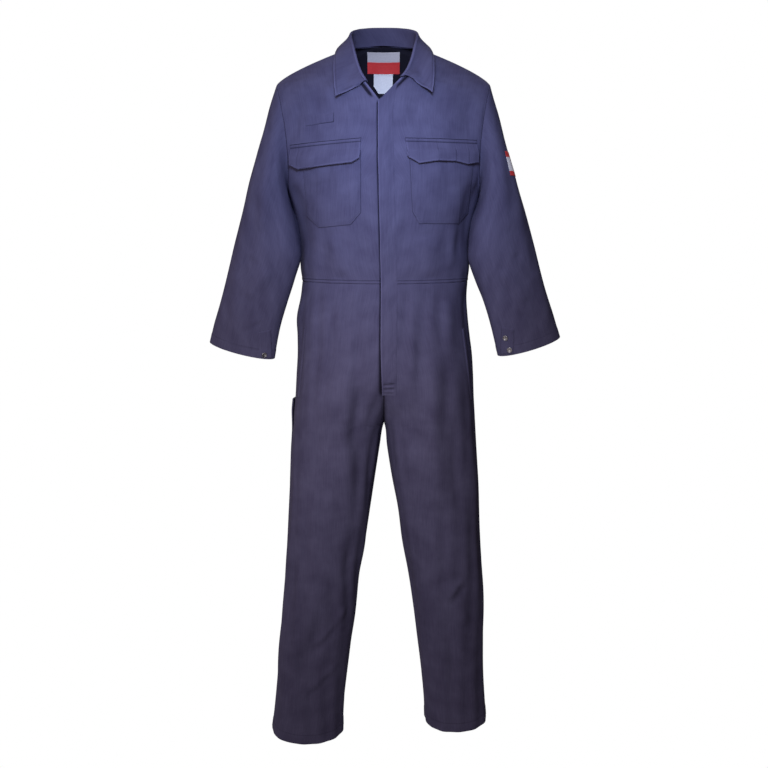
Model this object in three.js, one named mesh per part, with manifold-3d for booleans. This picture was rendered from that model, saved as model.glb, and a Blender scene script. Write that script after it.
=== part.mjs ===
// Boiler suit, worn and hollow: cloth walls in the shape they take on a wearer who stands with the arms down.
// Millimetres, +Z up. The wearer faces -Y, so the wearer's right side lies at -X.
// The origin is the point between the shoulders, at the base of the neck, where the wearer carries the suit.
import * as THREE from "three";
import { mergeVertices } from "three/addons/utils/BufferGeometryUtils.js";
import Module from "manifold-3d";

const wasm = await Module();
wasm.setup();

// Cloth and seams
const CLOTH = 1.5;
const PATCH = 1.2;
const SEAM_GAP = 0.3;
const LAY_GAP = 0.3;

// Heights of the main lines
const WAIST = { side: -531, centre: -533.5, bowReach: 120 };
const UNDERARM_Z = -325;
const SHOULDER_Z = -75;
const CROTCH_Z = -875;
const HEM_Z = -1615;
const V_POINT = { x: -10, y: -121, z: -119 };
const BACK_NECK = { z: 22, y: 72 };
const SIDE_NECK = { x: 81, y: 2, z: 9 };

// How full a section is between its side and its centre: 0.552 would be an ellipse
const FULLNESS = 0.6;

// How the cells run: columns over a quarter of the body, rows up the bodice, down the trunk and down the leg
const COLUMNS = 10;
const SIDE_ROWS = 6;
const ARMHOLE_ROWS = 12;
const TRUNK_ROWS = 8;
const LEG_ROWS = 14;
const SLEEVE_ROWS = 14;

const RIGHT = -1;
const LEFT = 1;
const FRONT = -1;
const BACK = 1;

// Bodice: half widths to the wearer's right and left, and depths forward and back of the side seams
const bodiceSections = [
  { z: 22, right: 226, left: 226, front: 60, back: 72 },
  { z: -30, right: 226, left: 226, front: 92, back: 102 },
  { z: -75, right: 226, left: 226, front: 110, back: 119 },
  { z: -119, right: 226, left: 226, front: 121, back: 130 },
  { z: -200, right: 226, left: 226, front: 136, back: 142 },
  { z: -325, right: 225, left: 225, front: 142, back: 142 },
  { z: -362, right: 215, left: 216, front: 141, back: 137 },
  { z: -404, right: 206, left: 208, front: 139, back: 132 },
  { z: -450, right: 200, left: 203, front: 135, back: 126 },
  { z: -501, right: 198, left: 202, front: 130, back: 122 },
  { z: WAIST.side, right: 193, left: 198, front: 127, back: 121 },
];

// Trousers, one row a height: outer and inner half widths from the middle of the body, front and back depths,
// and how far forward each leg stands. An inner width below zero reaches past the middle, where the halves meet.
const trouserSections = [
  { z: WAIST.side, outerR: 193, outerL: 198, innerR: -193, innerL: -198, front: 127, back: 121, yR: 0, yL: 0 },
  { z: -570, outerR: 198, outerL: 196, innerR: -198, innerL: -196, front: 128, back: 126, yR: 0, yL: 0 },
  { z: -615, outerR: 207, outerL: 199, innerR: -207, innerL: -199, front: 131, back: 135, yR: 0, yL: 0 },
  { z: -660, outerR: 206, outerL: 204, innerR: -204, innerL: -202, front: 135, back: 143, yR: 0, yL: 0 },
  { z: -706, outerR: 206, outerL: 210, innerR: -172, innerL: -172, front: 137, back: 147, yR: 0, yL: 0 },
  { z: -753, outerR: 209, outerL: 213, innerR: -112, innerL: -112, front: 138, back: 147, yR: 0, yL: 0 },
  { z: -807, outerR: 212, outerL: 215, innerR: -45, innerL: -45, front: 132, back: 140, yR: 0, yL: 0 },
  { z: -840, outerR: 215, outerL: 217, innerR: -16, innerL: -16, front: 126, back: 133, yR: 0, yL: 0 },
  { z: -875, outerR: 217, outerL: 219, innerR: 1.5, innerL: 1.5, front: 120, back: 127, yR: 0, yL: 0 },
  { z: -924, outerR: 222, outerL: 222, innerR: 10, innerL: 7, front: 113, back: 120, yR: -1, yL: 0 },
  { z: -1002, outerR: 226, outerL: 227, innerR: 22, innerL: 19, front: 104, back: 111, yR: -4, yL: 2 },
  { z: -1081, outerR: 230, outerL: 230, innerR: 34, innerL: 34, front: 96, back: 103, yR: -8, yL: 4 },
  { z: -1160, outerR: 234, outerL: 234, innerR: 46, innerL: 44, front: 90, back: 97, yR: -12, yL: 5 },
  { z: -1240, outerR: 239, outerL: 239, innerR: 60, innerL: 59, front: 84, back: 91, yR: -17, yL: 6 },
  { z: -1320, outerR: 246, outerL: 242, innerR: 68, innerL: 71, front: 79, back: 85, yR: -22, yL: 7 },
  { z: -1400, outerR: 252, outerL: 243, innerR: 80, innerL: 81, front: 75, back: 79, yR: -27, yL: 8 },
  { z: -1481, outerR: 258, outerL: 244, innerR: 90, innerL: 91, front: 72, back: 75, yR: -31, yL: 9 },
  { z: -1563, outerR: 266, outerL: 248, innerR: 99, innerL: 98, front: 70, back: 72, yR: -34, yL: 10 },
  { z: -1620, outerR: 273, outerL: 252, innerR: 100, innerL: 100, front: 69, back: 70, yR: -36, yL: 10 },
];
const HEM_DROP = { front: 20, back: -6, reach: 130, left: 12 };

// Sleeves, one row a ring from the armhole to the cuff: its outer and inner end, half its depth,
// and how far forward it hangs
const sleeveRings = {
  [RIGHT]: [
    { ring: 0, outerX: 251, outerZ: -75, innerX: 226, innerZ: -325, depth: 74, forward: 0 },
    { ring: 1, outerX: 266, outerZ: -125, innerX: 223, innerZ: -343, depth: 77, forward: 9 },
    { ring: 2, outerX: 283, outerZ: -187, innerX: 218, innerZ: -362, depth: 78, forward: 20 },
    { ring: 3, outerX: 298, outerZ: -243, innerX: 209.5, innerZ: -385, depth: 76, forward: 31 },
    { ring: 4, outerX: 314, outerZ: -302, innerX: 203, innerZ: -412, depth: 72, forward: 41 },
    { ring: 5, outerX: 328, outerZ: -362, innerX: 198, innerZ: -445, depth: 68, forward: 48 },
    { ring: 6, outerX: 344, outerZ: -425, innerX: 196.5, innerZ: -485, depth: 63, forward: 53 },
    { ring: 7, outerX: 359, outerZ: -490, innerX: 209, innerZ: -530, depth: 57, forward: 56 },
    { ring: 8, outerX: 374, outerZ: -547, innerX: 226, innerZ: -577, depth: 51, forward: 58 },
    { ring: 9, outerX: 392, outerZ: -610, innerX: 243, innerZ: -637, depth: 43, forward: 60 },
    { ring: 10, outerX: 408, outerZ: -671, innerX: 257, innerZ: -709, depth: 31, forward: 61 },
  ],
  [LEFT]: [
    { ring: 0, outerX: 248, outerZ: -75, innerX: 226, innerZ: -325, depth: 74, forward: 0 },
    { ring: 1, outerX: 263, outerZ: -135, innerX: 223, innerZ: -343, depth: 77, forward: 9 },
    { ring: 2, outerX: 279, outerZ: -193, innerX: 219, innerZ: -362, depth: 78, forward: 20 },
    { ring: 3, outerX: 293, outerZ: -246, innerX: 210.5, innerZ: -385, depth: 76, forward: 31 },
    { ring: 4, outerX: 310, outerZ: -302, innerX: 204.5, innerZ: -412, depth: 72, forward: 41 },
    { ring: 5, outerX: 328, outerZ: -362, innerX: 200.5, innerZ: -445, depth: 68, forward: 48 },
    { ring: 6, outerX: 344, outerZ: -425, innerX: 200, innerZ: -486, depth: 63, forward: 53 },
    { ring: 7, outerX: 361, outerZ: -490, innerX: 215, innerZ: -532, depth: 57, forward: 56 },
    { ring: 8, outerX: 377, outerZ: -548, innerX: 232, innerZ: -577, depth: 51, forward: 58 },
    { ring: 9, outerX: 397, outerZ: -610, innerX: 250, innerZ: -634, depth: 43, forward: 60 },
    { ring: 10, outerX: 412, outerZ: -659, innerX: 267, innerZ: -702, depth: 31, forward: 61 },
  ],
};
const CUFF_DROP = 9;
const CUFF_RING = 10;
const CUFF_BEND_RINGS = 1.5;
const ARMHOLE_BLEND_RINGS = 2;

// Armhole: its middle height, half height, depth forward and back, and how far its middle lies inside its ends
const armhole = {
  middleZ: (SHOULDER_Z + UNDERARM_Z) / 2,
  halfHeight: (SHOULDER_Z - UNDERARM_Z) / 2,
  depth: 74,
  topX: { [RIGHT]: 251, [LEFT]: 248 },
  bottomX: 225,
  inset: 13,
};

// Neckline, as distances from the middle: from the V point up to the side of the neck, and across the back.
// The V point lies off the middle, because the wearer's left front laps over the right one.
const neckline = {
  [RIGHT]: [
    { t: 0, x: -V_POINT.x, y: V_POINT.y, z: V_POINT.z },
    { t: 0.28, x: 40, y: -103, z: -79 },
    { t: 0.5, x: 57, y: -82, z: -59 },
    { t: 0.68, x: 69, y: -56, z: -36 },
    { t: 0.84, x: 77, y: -28, z: -12 },
    { t: 1, x: SIDE_NECK.x, y: SIDE_NECK.y, z: SIDE_NECK.z },
  ],
  [LEFT]: [
    { t: 0, x: V_POINT.x, y: V_POINT.y, z: V_POINT.z },
    { t: 0.36, x: 38, y: -98, z: -67 },
    { t: 0.52, x: 55, y: -80, z: -53 },
    { t: 0.68, x: 68, y: -56, z: -34 },
    { t: 0.84, x: 77, y: -28, z: -11 },
    { t: 1, x: SIDE_NECK.x, y: SIDE_NECK.y, z: SIDE_NECK.z },
  ],
};
const backNeckline = [
  { t: -0.35, x: -38, y: 65, z: 20.5 },
  { t: 0, x: 0, y: BACK_NECK.y, z: BACK_NECK.z },
  { t: 0.35, x: 38, y: 65, z: 20.5 },
  { t: 0.7, x: 70, y: 38, z: 15 },
  { t: 1, x: SIDE_NECK.x, y: SIDE_NECK.y, z: SIDE_NECK.z },
];

// The collar from the centre back (0) to its front end (1): the fold line and about where the leaf's edge lies
const collarStations = [
  { at: -0.18, foldX: -42, foldY: 59, foldZ: 64, edgeX: -56, edgeY: 105, edgeZ: 0 },
  { at: 0, foldX: 0, foldY: 66, foldZ: 66, edgeX: 0, edgeY: 112, edgeZ: 2 },
  { at: 0.18, foldX: 42, foldY: 59, foldZ: 64, edgeX: 56, edgeY: 105, edgeZ: 0 },
  { at: 0.34, foldX: 71, foldY: 31, foldZ: 55, edgeX: 99, edgeY: 62, edgeZ: 0 },
  { at: 0.46, foldX: 78, foldY: 0, foldZ: 42, edgeX: 112, edgeY: 6, edgeZ: 0 },
  { at: 0.6, foldX: 72, foldY: -30, foldZ: 16, edgeX: 115, edgeY: -42, edgeZ: -17 },
  { at: 0.75, foldX: 63, foldY: -61, foldZ: -22, edgeX: 115, edgeY: -78, edgeZ: -48 },
  { at: 0.88, foldX: 53, foldY: -88, foldZ: -52, edgeX: 113, edgeY: -106, edgeZ: -83 },
  { at: 1, foldX: 42, foldY: -107, foldZ: -74, edgeX: 109, edgeY: -123, edgeZ: -111 },
];
const COLLAR = { thickness: 1.4, foldRadius: 2.5, columns: 28, leftLift: 9, lie: 4, rise: 2.8, side: 0.46 };
const COLLAR_END = { [RIGHT]: 0.28, [LEFT]: 0.36 };

// Patches on the fronts, as seen from the front
const pocketOutline = {
  [RIGHT]: [[-52, -232], [-52, -372], [-75, -399], [-150, -406], [-178, -379], [-187, -232]],
  [LEFT]: [[56, -232], [64, -370], [80, -397], [172, -397], [195, -371], [207, -232]],
};
const flapOutline = {
  [RIGHT]: [[-51, -204], [-55, -249], [-72, -260], [-193, -273], [-212, -262], [-216, -217]],
  [LEFT]: [[47, -204], [54, -247], [79, -262], [120, -257], [160, -255], [212, -257], [213, -206]],
};
const POCKET_FULLNESS = 2.5;
const FLAP_LIFT = { [RIGHT]: 7, [LEFT]: 5.5 };
const chestTabOutline = [[-188, -150], [-115, -139], [-115, -166], [-188, -173]];
const placketOutline = [
  [-12.5, -122], [30, -78], [20, -142], [25, -343], [31, -533], [29, -767], [28, -790],
  [-4, -791], [-7, -661], [-5.7, -533], [-8, -433], [-10.2, -343], [-12.4, -254],
];
const PLACKET_BRIDGE = { height: 0.8, fromZ: -690, over: 80 };
const hipWeltOutline = {
  [RIGHT]: [[-181, -640], [-190, -640], [-199, -700], [-206, -805], [-200, -805], [-190, -700]],
  [LEFT]: [[181, -640], [190, -640], [200, -700], [210, -811], [203, -811], [191, -700]],
};
const rulePocket = { fromY: 3, toY: 90, topZ: -812, bottomZ: -1130, mouthLift: 6 };

// Labels: plain, inside the back neck and on the wearer's left upper arm
const LABEL = 0.8;
const neckLabelOutline = [[-40, 11], [38, 11], [38, -37], [-40, -37]];
const careLabelOutline = [[-25, -37.4], [22, -37.4], [20, -90], [-13, -90], [-13, -72], [-25, -72]];
const sleeveLabel = { near: [290, -60, -260], width: 38, length: 58, tilt: 0.13 };

// Cuff laps and studs, on the front of the cuffs near the body
const cuffLapOutline = {
  [RIGHT]: [[-262, -640], [-257, -745], [-290, -745], [-292, -646]],
  [LEFT]: [[272, -632], [266, -740], [302, -740], [302, -638]],
};
const CUFF_FRONT_Y = -66;
const studPlaces = {
  [RIGHT]: [[-279, -95, -700]],
  [LEFT]: [[292, -95, -688], [282, -95, -660]],
};
const STUD = { radius: 6.2, height: 2.6, edge: 0.9, seat: 0.5 };

// The largest folds: soft ridges (height above zero) and troughs along straight lines seen from the front or back
const folds = {
  bodice: [
    { face: FRONT, x1: -120, z1: -420, x2: -95, z2: -520, height: 5, width: 22 },
    { face: FRONT, x1: 95, z1: -420, x2: 110, z2: -525, height: 5, width: 24 },
    { face: FRONT, x1: -205, z1: -300, x2: -165, z2: -480, height: -5, width: 18 },
    { face: FRONT, x1: 205, z1: -300, x2: 172, z2: -480, height: -5, width: 18 },
    { face: FRONT, x1: -190, z1: -120, x2: -205, z2: -190, height: -4, width: 16 },
    { face: FRONT, x1: 190, z1: -120, x2: 203, z2: -190, height: -4, width: 16 },
    { face: BACK, x1: -70, z1: -300, x2: -60, z2: -520, height: 7, width: 26 },
    { face: BACK, x1: 75, z1: -280, x2: 62, z2: -520, height: 7, width: 26 },
    { face: BACK, x1: -180, z1: -250, x2: -150, z2: -470, height: -6, width: 22 },
    { face: BACK, x1: 180, z1: -250, x2: 152, z2: -470, height: -6, width: 22 },
  ],
  trousers: [
    { face: FRONT, x1: -95, z1: -700, x2: -95, z2: -1050, height: 8, width: 20 },
    { face: FRONT, x1: 110, z1: -680, x2: 118, z2: -1080, height: 8, width: 22 },
    { face: FRONT, x1: -45, z1: -760, x2: -80, z2: -930, height: -6, width: 16 },
    { face: FRONT, x1: 45, z1: -760, x2: 78, z2: -930, height: -6, width: 16 },
    { face: FRONT, x1: -140, z1: -1230, x2: -215, z2: -1440, height: 6, width: 18 },
    { face: FRONT, x1: -150, z1: -1330, x2: -225, z2: -1520, height: -5, width: 18 },
    { face: FRONT, x1: 150, z1: -1240, x2: 200, z2: -1360, height: 6, width: 18 },
    { face: FRONT, x1: 135, z1: -1330, x2: 190, z2: -1500, height: -5, width: 18 },
    { face: BACK, x1: -105, z1: -800, x2: -130, z2: -1150, height: 8, width: 24 },
    { face: BACK, x1: 105, z1: -800, x2: 130, z2: -1150, height: 8, width: 24 },
    { face: BACK, x1: -120, z1: -1250, x2: -200, z2: -1420, height: 7, width: 20 },
    { face: BACK, x1: 120, z1: -1250, x2: 190, z2: -1420, height: 7, width: 20 },
  ],
  sleeves: [
    { face: FRONT, x1: -262, z1: -260, x2: -285, z2: -420, height: 5, width: 16 },
    { face: FRONT, x1: -300, z1: -470, x2: -345, z2: -520, height: -5, width: 14 },
    { face: FRONT, x1: -262, z1: -500, x2: -320, z2: -570, height: 5, width: 14 },
    { face: FRONT, x1: 262, z1: -260, x2: 288, z2: -420, height: 5, width: 16 },
    { face: FRONT, x1: 300, z1: -460, x2: 350, z2: -520, height: -5, width: 14 },
    { face: FRONT, x1: 268, z1: -500, x2: 330, z2: -580, height: 5, width: 14 },
    { face: BACK, x1: -270, z1: -300, x2: -320, z2: -500, height: 6, width: 18 },
    { face: BACK, x1: 270, z1: -300, x2: 320, z2: -500, height: 6, width: 18 },
  ],
};

// Where the folds fade out: shares of a panel from its side and centre, a share of the bodice's height up
// from the waist, and millimetres down from it
const FOLD_FADE = { side: 0.25, centre: 0.2, bodiceWaist: 0.06, trouserWaist: 60 };

// Numbers and tables
const point = (x, y, z) => new THREE.Vector3(x, y, z);
const mix = (a, b, t) => a + (b - a) * t;
const clamp01 = (t) => Math.min(1, Math.max(0, t));
const ease = (t) => clamp01(t) * clamp01(t) * (3 - 2 * clamp01(t));
const sideName = (side) => (side === RIGHT ? "right" : "left");
const sideLetter = (side) => (side === RIGHT ? "R" : "L");

// A smooth value out of one column of a table, read by another column
function read(table, by, column, value) {
  const rising = table[0][by] < table[table.length - 1][by] ? 1 : -1;
  let i = 1;
  while (i < table.length - 1 && rising * (value - table[i][by]) > 0) i++;
  const slope = (k) => {
    const before = table[Math.max(0, k - 1)];
    const after = table[Math.min(table.length - 1, k + 1)];
    return (after[column] - before[column]) / (after[by] - before[by]);
  };
  const span = table[i][by] - table[i - 1][by];
  const t = clamp01((value - table[i - 1][by]) / span);
  const start = table[i - 1][column];
  const end = table[i][column];
  const bend = 3 * t * t - 2 * t * t * t;
  const leave = t * (1 - t) * (1 - t) * span * slope(i - 1);
  const arrive = t * t * (t - 1) * span * slope(i);
  return start + (end - start) * bend + leave + arrive;
}

const readPoint = (table, value, side) =>
  point(side * read(table, "t", "x", value), read(table, "t", "y", value), read(table, "t", "z", value));

function bezier(a, b, c, d, t) {
  const s = 1 - t;
  return point(0, 0, 0)
    .addScaledVector(a, s * s * s)
    .addScaledVector(b, 3 * s * s * t)
    .addScaledVector(c, 3 * s * t * t)
    .addScaledVector(d, t * t * t);
}

// Height of the folds of one list at a point, on the front or the back
function foldHeight(list, p, face) {
  let height = 0;
  for (const fold of list) {
    if (fold.face !== face) continue;
    const dx = fold.x2 - fold.x1;
    const dz = fold.z2 - fold.z1;
    const t = clamp01(((p.x - fold.x1) * dx + (p.z - fold.z1) * dz) / (dx * dx + dz * dz));
    const away = Math.hypot(p.x - fold.x1 - t * dx, p.z - fold.z1 - t * dz);
    height += fold.height * Math.exp(-((away / fold.width) ** 2));
  }
  return height;
}

// Armhole curve of one side: angle 0 at the shoulder, pi at the underarm; the front has the positive sines
function armholePoint(side, angle) {
  const down = (1 - Math.cos(angle)) / 2;
  const x = mix(armhole.topX[side], armhole.bottomX, down) - armhole.inset * Math.sin(angle) ** 2;
  return point(
    side * x,
    -armhole.depth * Math.sin(angle),
    armhole.middleZ + armhole.halfHeight * Math.cos(angle),
  );
}

// Bodice: u runs from the side seam and armhole (0) to the centre and neckline (1),
// v from the waist (0) to the shoulder seam (1)
const UNDERARM_V = 0.4;
const V_POINT_V = 0.7;
const BACK_NECK_V = 0.8;
const SIDE_SEAM_BACK = 12;
const LAP_V = 0.3;

// How the shoulder line leaves its two ends: in and up from the armhole, out and down from the neck
const shoulderLine = { fromArmhole: 15, rise: 24, hollow: 70, fromNeck: 52, fall: 18 };

// Armhole angle at a share of the way up from the underarm: the cells grow finer towards the shoulder
const armholeAngle = (share) => Math.PI * clamp01(1 - share) ** 1.3;

function bodiceSide(side, face, v) {
  if (v >= UNDERARM_V) {
    const angle = armholeAngle((v - UNDERARM_V) / (1 - UNDERARM_V));
    return armholePoint(side, face === FRONT ? angle : -angle);
  }
  const z = mix(WAIST.side, UNDERARM_Z, v / UNDERARM_V);
  const behind = SIDE_SEAM_BACK * Math.sin((Math.PI * v) / UNDERARM_V);
  return point(side * read(bodiceSections, "z", sideName(side), z), behind, z);
}

function bodiceCentre(side, face, v) {
  const neckV = face === FRONT ? V_POINT_V : BACK_NECK_V;
  if (v > neckV) return readPoint(face === FRONT ? neckline[side] : backNeckline, (v - neckV) / (1 - neckV), side);
  const z = mix(WAIST.centre, face === FRONT ? V_POINT.z : BACK_NECK.z, v / neckV);
  const depth = face * read(bodiceSections, "z", face === FRONT ? "front" : "back", z);
  const lap = face === FRONT ? V_POINT.x * ease((v - neckV + LAP_V) / LAP_V) : 0;
  return point(lap, depth, z);
}

function bodicePoint(side, face, u, v) {
  const a = bodiceSide(side, face, v);
  const b = bodiceCentre(side, face, v);
  const up = ease((v - UNDERARM_V) / (1 - UNDERARM_V));
  const width = Math.abs(a.x - b.x);
  const inward = shoulderLine.fromArmhole * up + shoulderLine.hollow * up * (1 - up);
  const sideHandle = point(-side * inward, FULLNESS * (b.y - a.y) * (1 - up), shoulderLine.rise * up);
  const reach = mix(FULLNESS * width, shoulderLine.fromNeck, up);
  const centreHandle = point(side * reach, 0, -shoulderLine.fall * up);
  return bezier(a, a.clone().add(sideHandle), b.clone().add(centreHandle), b, u);
}

// Trousers: u runs from the side seam (0) to the centre seam or inseam (1)
const quarterAcross = (t) => (1 - t) ** 3 + 3 * (1 - t) ** 2 * t + 3 * (1 - t) * t * t * FULLNESS;
const quarterOut = (t) => quarterAcross(1 - t);

function trouserPoint(side, face, u, z) {
  const letter = sideLetter(side);
  const outer = read(trouserSections, "z", "outer" + letter, z);
  const inner = Math.max(-outer, read(trouserSections, "z", "inner" + letter, z));
  const depth = read(trouserSections, "z", face === FRONT ? "front" : "back", z);
  const middle = (outer + inner) / 2;
  const half = (outer - inner) / 2;
  const across = (t) => (t < 1 ? middle + half * quarterAcross(t) : middle - half * quarterAcross(2 - t));
  let end = 2;
  if (inner < 0) {
    let low = 1;
    for (let step = 0; step < 40; step++) {
      const guess = (low + end) / 2;
      if (across(guess) > 0) low = guess;
      else end = guess;
    }
  }
  const t = u * end;
  const out = t < 1 ? quarterOut(t) : quarterOut(2 - t);
  const forward = z < CROTCH_Z ? read(trouserSections, "z", "y" + letter, z) : 0;
  const bow = (WAIST.centre - WAIST.side) * ease(u) * clamp01(1 - (WAIST.side - z) / WAIST.bowReach);
  const atHem = ease((HEM_DROP.reach - (z - HEM_Z)) / HEM_DROP.reach);
  const lift = side === LEFT ? HEM_DROP.left : 0;
  const drop = (face === FRONT ? HEM_DROP.front : HEM_DROP.back) * out - lift;
  return point(side * across(t), forward + face * depth * out, z + bow - atHem * drop);
}

// Sleeves: angle as on the armhole, along runs over the rings from the armhole to the cuff
function sleevePoint(side, angle, along) {
  const rings = sleeveRings[side];
  const value = (column) => read(rings, "ring", column, along);
  const outer = point(side * value("outerX"), 0, value("outerZ"));
  const inner = point(side * value("innerX"), 0, value("innerZ"));
  const cos = Math.cos(angle);
  const sin = Math.sin(angle);
  const drop = CUFF_DROP * Math.max(0, sin) * ease((along - CUFF_RING + CUFF_BEND_RINGS) / CUFF_BEND_RINGS);
  const ringPoint = outer.clone().add(inner).multiplyScalar(0.5).addScaledVector(outer.sub(inner), cos / 2);
  ringPoint.y = -value("depth") * sin - value("forward");
  ringPoint.z -= drop;
  const seam = armholePoint(side, angle);
  seam.x += side * SEAM_GAP;
  return ringPoint.lerp(seam, clamp01(1 - along / ARMHOLE_BLEND_RINGS) ** 2);
}

// Normal of a surface given as a function of two numbers, turned to the side that the hint points to
function normalOf(surface, u, v, stepU, stepV, hint) {
  const across = surface(u + stepU, v).sub(surface(u - stepU, v));
  const along = surface(u, v + stepV).sub(surface(u, v - stepV));
  const normal = across.cross(along).normalize();
  return normal.dot(hint) < 0 ? normal.negate() : normal;
}

// A sheet is a list of vertices, the normals that meet at each, and quads over them
function newSheet() {
  return { points: [], normals: [], quads: [], found: new Map() };
}

function vertexOf(sheet, p, n) {
  const key = [p.x, p.y, p.z].map((value) => Math.round(value * 500)).join(",");
  if (!sheet.found.has(key)) {
    sheet.found.set(key, sheet.points.length);
    sheet.points.push(p);
    sheet.normals.push(new Set());
  }
  sheet.normals[sheet.found.get(key)].add(n);
  return sheet.found.get(key);
}

// Adds the cells of a grid between the given rows and columns, turned so that they face along the normals
function addGrid(sheet, grid, rows = [0, grid.points.length - 1], columns = [0, grid.points[0].length - 1]) {
  const at = (i, j) => vertexOf(sheet, grid.points[i][j], grid.normals[i][j]);
  const added = [];
  let facing = 0;
  for (let i = rows[0]; i < rows[1]; i++)
    for (let j = columns[0]; j < columns[1]; j++) {
      const quad = [at(i, j), at(i, j + 1), at(i + 1, j + 1), at(i + 1, j)];
      const [a, b, c, d] = quad.map((k) => sheet.points[k]);
      const out = c.clone().sub(a).cross(d.clone().sub(b));
      if (out.lengthSq() > 0) facing += Math.sign(out.dot(grid.normals[i][j]));
      if (new Set(quad).size >= 3) added.push(quad);
    }
  sheet.quads.push(...added.map((quad) => (facing < 0 ? quad.reverse() : quad)));
  return sheet;
}

// A closed wall over a sheet: its inner face lies at lift, its outer face a thickness further out
function wallOver(sheet, lift, thickness) {
  const count = sheet.points.length;
  const normals = sheet.normals.map((meeting) => [...meeting].reduce((sum, n) => sum.add(n), point(0, 0, 0)).normalize());
  const low = sheet.points.map((p, k) => {
    const height = typeof lift === "function" ? lift(p) : lift;
    return p.clone().addScaledVector(normals[k], height);
  });
  const high = low.map((p, k) => p.clone().addScaledVector(normals[k], thickness));
  const faces = [];
  const edges = new Map();
  for (const quad of sheet.quads) {
    const corners = quad.filter((v, k) => v !== quad[(k + 1) % 4]);
    for (let k = 2; k < corners.length; k++) {
      faces.push([corners[0], corners[k - 1], corners[k]]);
      faces.push([corners[0] + count, corners[k] + count, corners[k - 1] + count]);
    }
    corners.forEach((v, k) => {
      const w = corners[(k + 1) % corners.length];
      if (!edges.delete(w + "," + v)) edges.set(v + "," + w, [v, w]);
    });
  }
  for (const [v, w] of edges.values()) faces.push([w, v, v + count], [w, v + count, w + count]);
  return solidFrom([...low, ...high], faces);
}

// A solid from points and triangles, turned right side out
function solidFrom(points, faces) {
  let volume = 0;
  for (const [a, b, c] of faces) volume += points[a].dot(points[b].clone().cross(points[c]));
  const geometry = new THREE.BufferGeometry();
  geometry.setAttribute("position", new THREE.Float32BufferAttribute(points.flatMap((p) => [p.x, p.y, p.z]), 3));
  geometry.setIndex(faces.flatMap(([a, b, c]) => (volume < 0 ? [a, c, b] : [a, b, c])));
  return solidOf(geometry);
}

function solidOf(geometry) {
  const bare = geometry.clone();
  bare.deleteAttribute("normal");
  bare.deleteAttribute("uv");
  const merged = mergeVertices(bare, 1e-3);
  return new wasm.Manifold(
    new wasm.Mesh({
      numProp: 3,
      vertProperties: merged.attributes.position.array,
      triVerts: new Uint32Array(merged.index.array),
    }),
  );
}

// An outline seen from the front, from the side or square to a direction, run through the body as a prism
function prism(outline, centre, direction, reach) {
  const shape = new THREE.Shape(outline.map(([x, y]) => new THREE.Vector2(x, y)));
  const geometry = new THREE.ExtrudeGeometry(shape, { depth: reach, bevelEnabled: false });
  const out = direction.clone().normalize();
  const right = point(0, 0, 1).cross(out).normalize();
  const up = out.clone().cross(right);
  geometry.applyMatrix4(new THREE.Matrix4().makeBasis(right, up, out).setPosition(centre));
  return solidOf(geometry);
}

const frontPrism = (outline, fromY = -10) => prism(outline, point(0, fromY, 0), point(0, -1, 0), 200);
const backPrism = (outline) => prism(outline, point(0, 160, 0), point(0, -1, 0), 140);

// Panels
const group = new THREE.Group();
const navy = { color: 0x3d3f63, roughness: 0.9, metalness: 0 };

function addMesh(name, solid, look) {
  const mesh = solid.getMesh();
  const geometry = new THREE.BufferGeometry();
  geometry.setAttribute("position", new THREE.Float32BufferAttribute(mesh.vertProperties, 3));
  geometry.setIndex(new THREE.BufferAttribute(mesh.triVerts, 1));
  geometry.computeVertexNormals();
  const made = new THREE.Mesh(geometry, new THREE.MeshStandardMaterial(look));
  made.name = name;
  group.add(made);
}

// A grid over a surface: rows and columns of cells, each a point with its normal
function gridOver(rows, columns, at) {
  const grid = { points: [], normals: [] };
  for (const i of rows) {
    const made = columns.map((j) => at(i, j));
    grid.points.push(made.map((cell) => cell.p));
    grid.normals.push(made.map((cell) => cell.n));
  }
  return grid;
}

const steps = (count) => Array.from({ length: count + 1 }, (_, k) => k / count);
const edgeFade = (u) => ease(u / FOLD_FADE.side) * ease((1 - u) / FOLD_FADE.centre);

const STEP = 0.002;

function bodiceGrid(side, face) {
  const surface = (u, v) => bodicePoint(side, face, u, v);
  const sideRows = steps(SIDE_ROWS).map((k) => UNDERARM_V * k);
  const armholeRows = steps(ARMHOLE_ROWS).slice(1).map((k) => mix(UNDERARM_V, 1, k));
  return gridOver([...sideRows, ...armholeRows], steps(COLUMNS), (v, u) => {
    const p = surface(u, v);
    const hint = point(side * (1 - u), face * 0.8, v * v);
    const [inU, inV] = [u, v].map((value) => Math.min(1 - STEP, Math.max(STEP, value)));
    const n = normalOf(surface, inU, inV, STEP, STEP, hint);
    if (v === 1) n.y = 0;
    if (u === 1 && Math.abs(p.x) < 0.01) n.x = 0;
    if (u === 0 && v < UNDERARM_V) n.y = 0;
    n.normalize();
    p.addScaledVector(n, foldHeight(folds.bodice, p, face) * edgeFade(u) * ease(v / FOLD_FADE.bodiceWaist));
    return { p, n };
  });
}

function trouserRows() {
  const trunk = steps(TRUNK_ROWS).map((k) => mix(WAIST.side, CROTCH_Z, 1 - (1 - k) ** 1.4));
  const leg = steps(LEG_ROWS).slice(1).map((k) => mix(CROTCH_Z, HEM_Z, k));
  return [...trunk, ...leg];
}

function trouserGrid(side, face) {
  const surface = (u, z) => trouserPoint(side, face, u, z);
  return gridOver(trouserRows(), steps(COLUMNS), (z, u) => {
    const p = surface(u, z);
    const inside = Math.min(0.995, Math.max(0.005, u));
    const ring = surface(inside + 0.005, z).sub(surface(inside - 0.005, z));
    const n = point(ring.y, -ring.x, 0).normalize().multiplyScalar(side * face);
    p.addScaledVector(n, foldHeight(folds.trousers, p, face) * edgeFade(u) * ease((WAIST.side - z) / FOLD_FADE.trouserWaist));
    return { p, n };
  });
}

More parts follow.
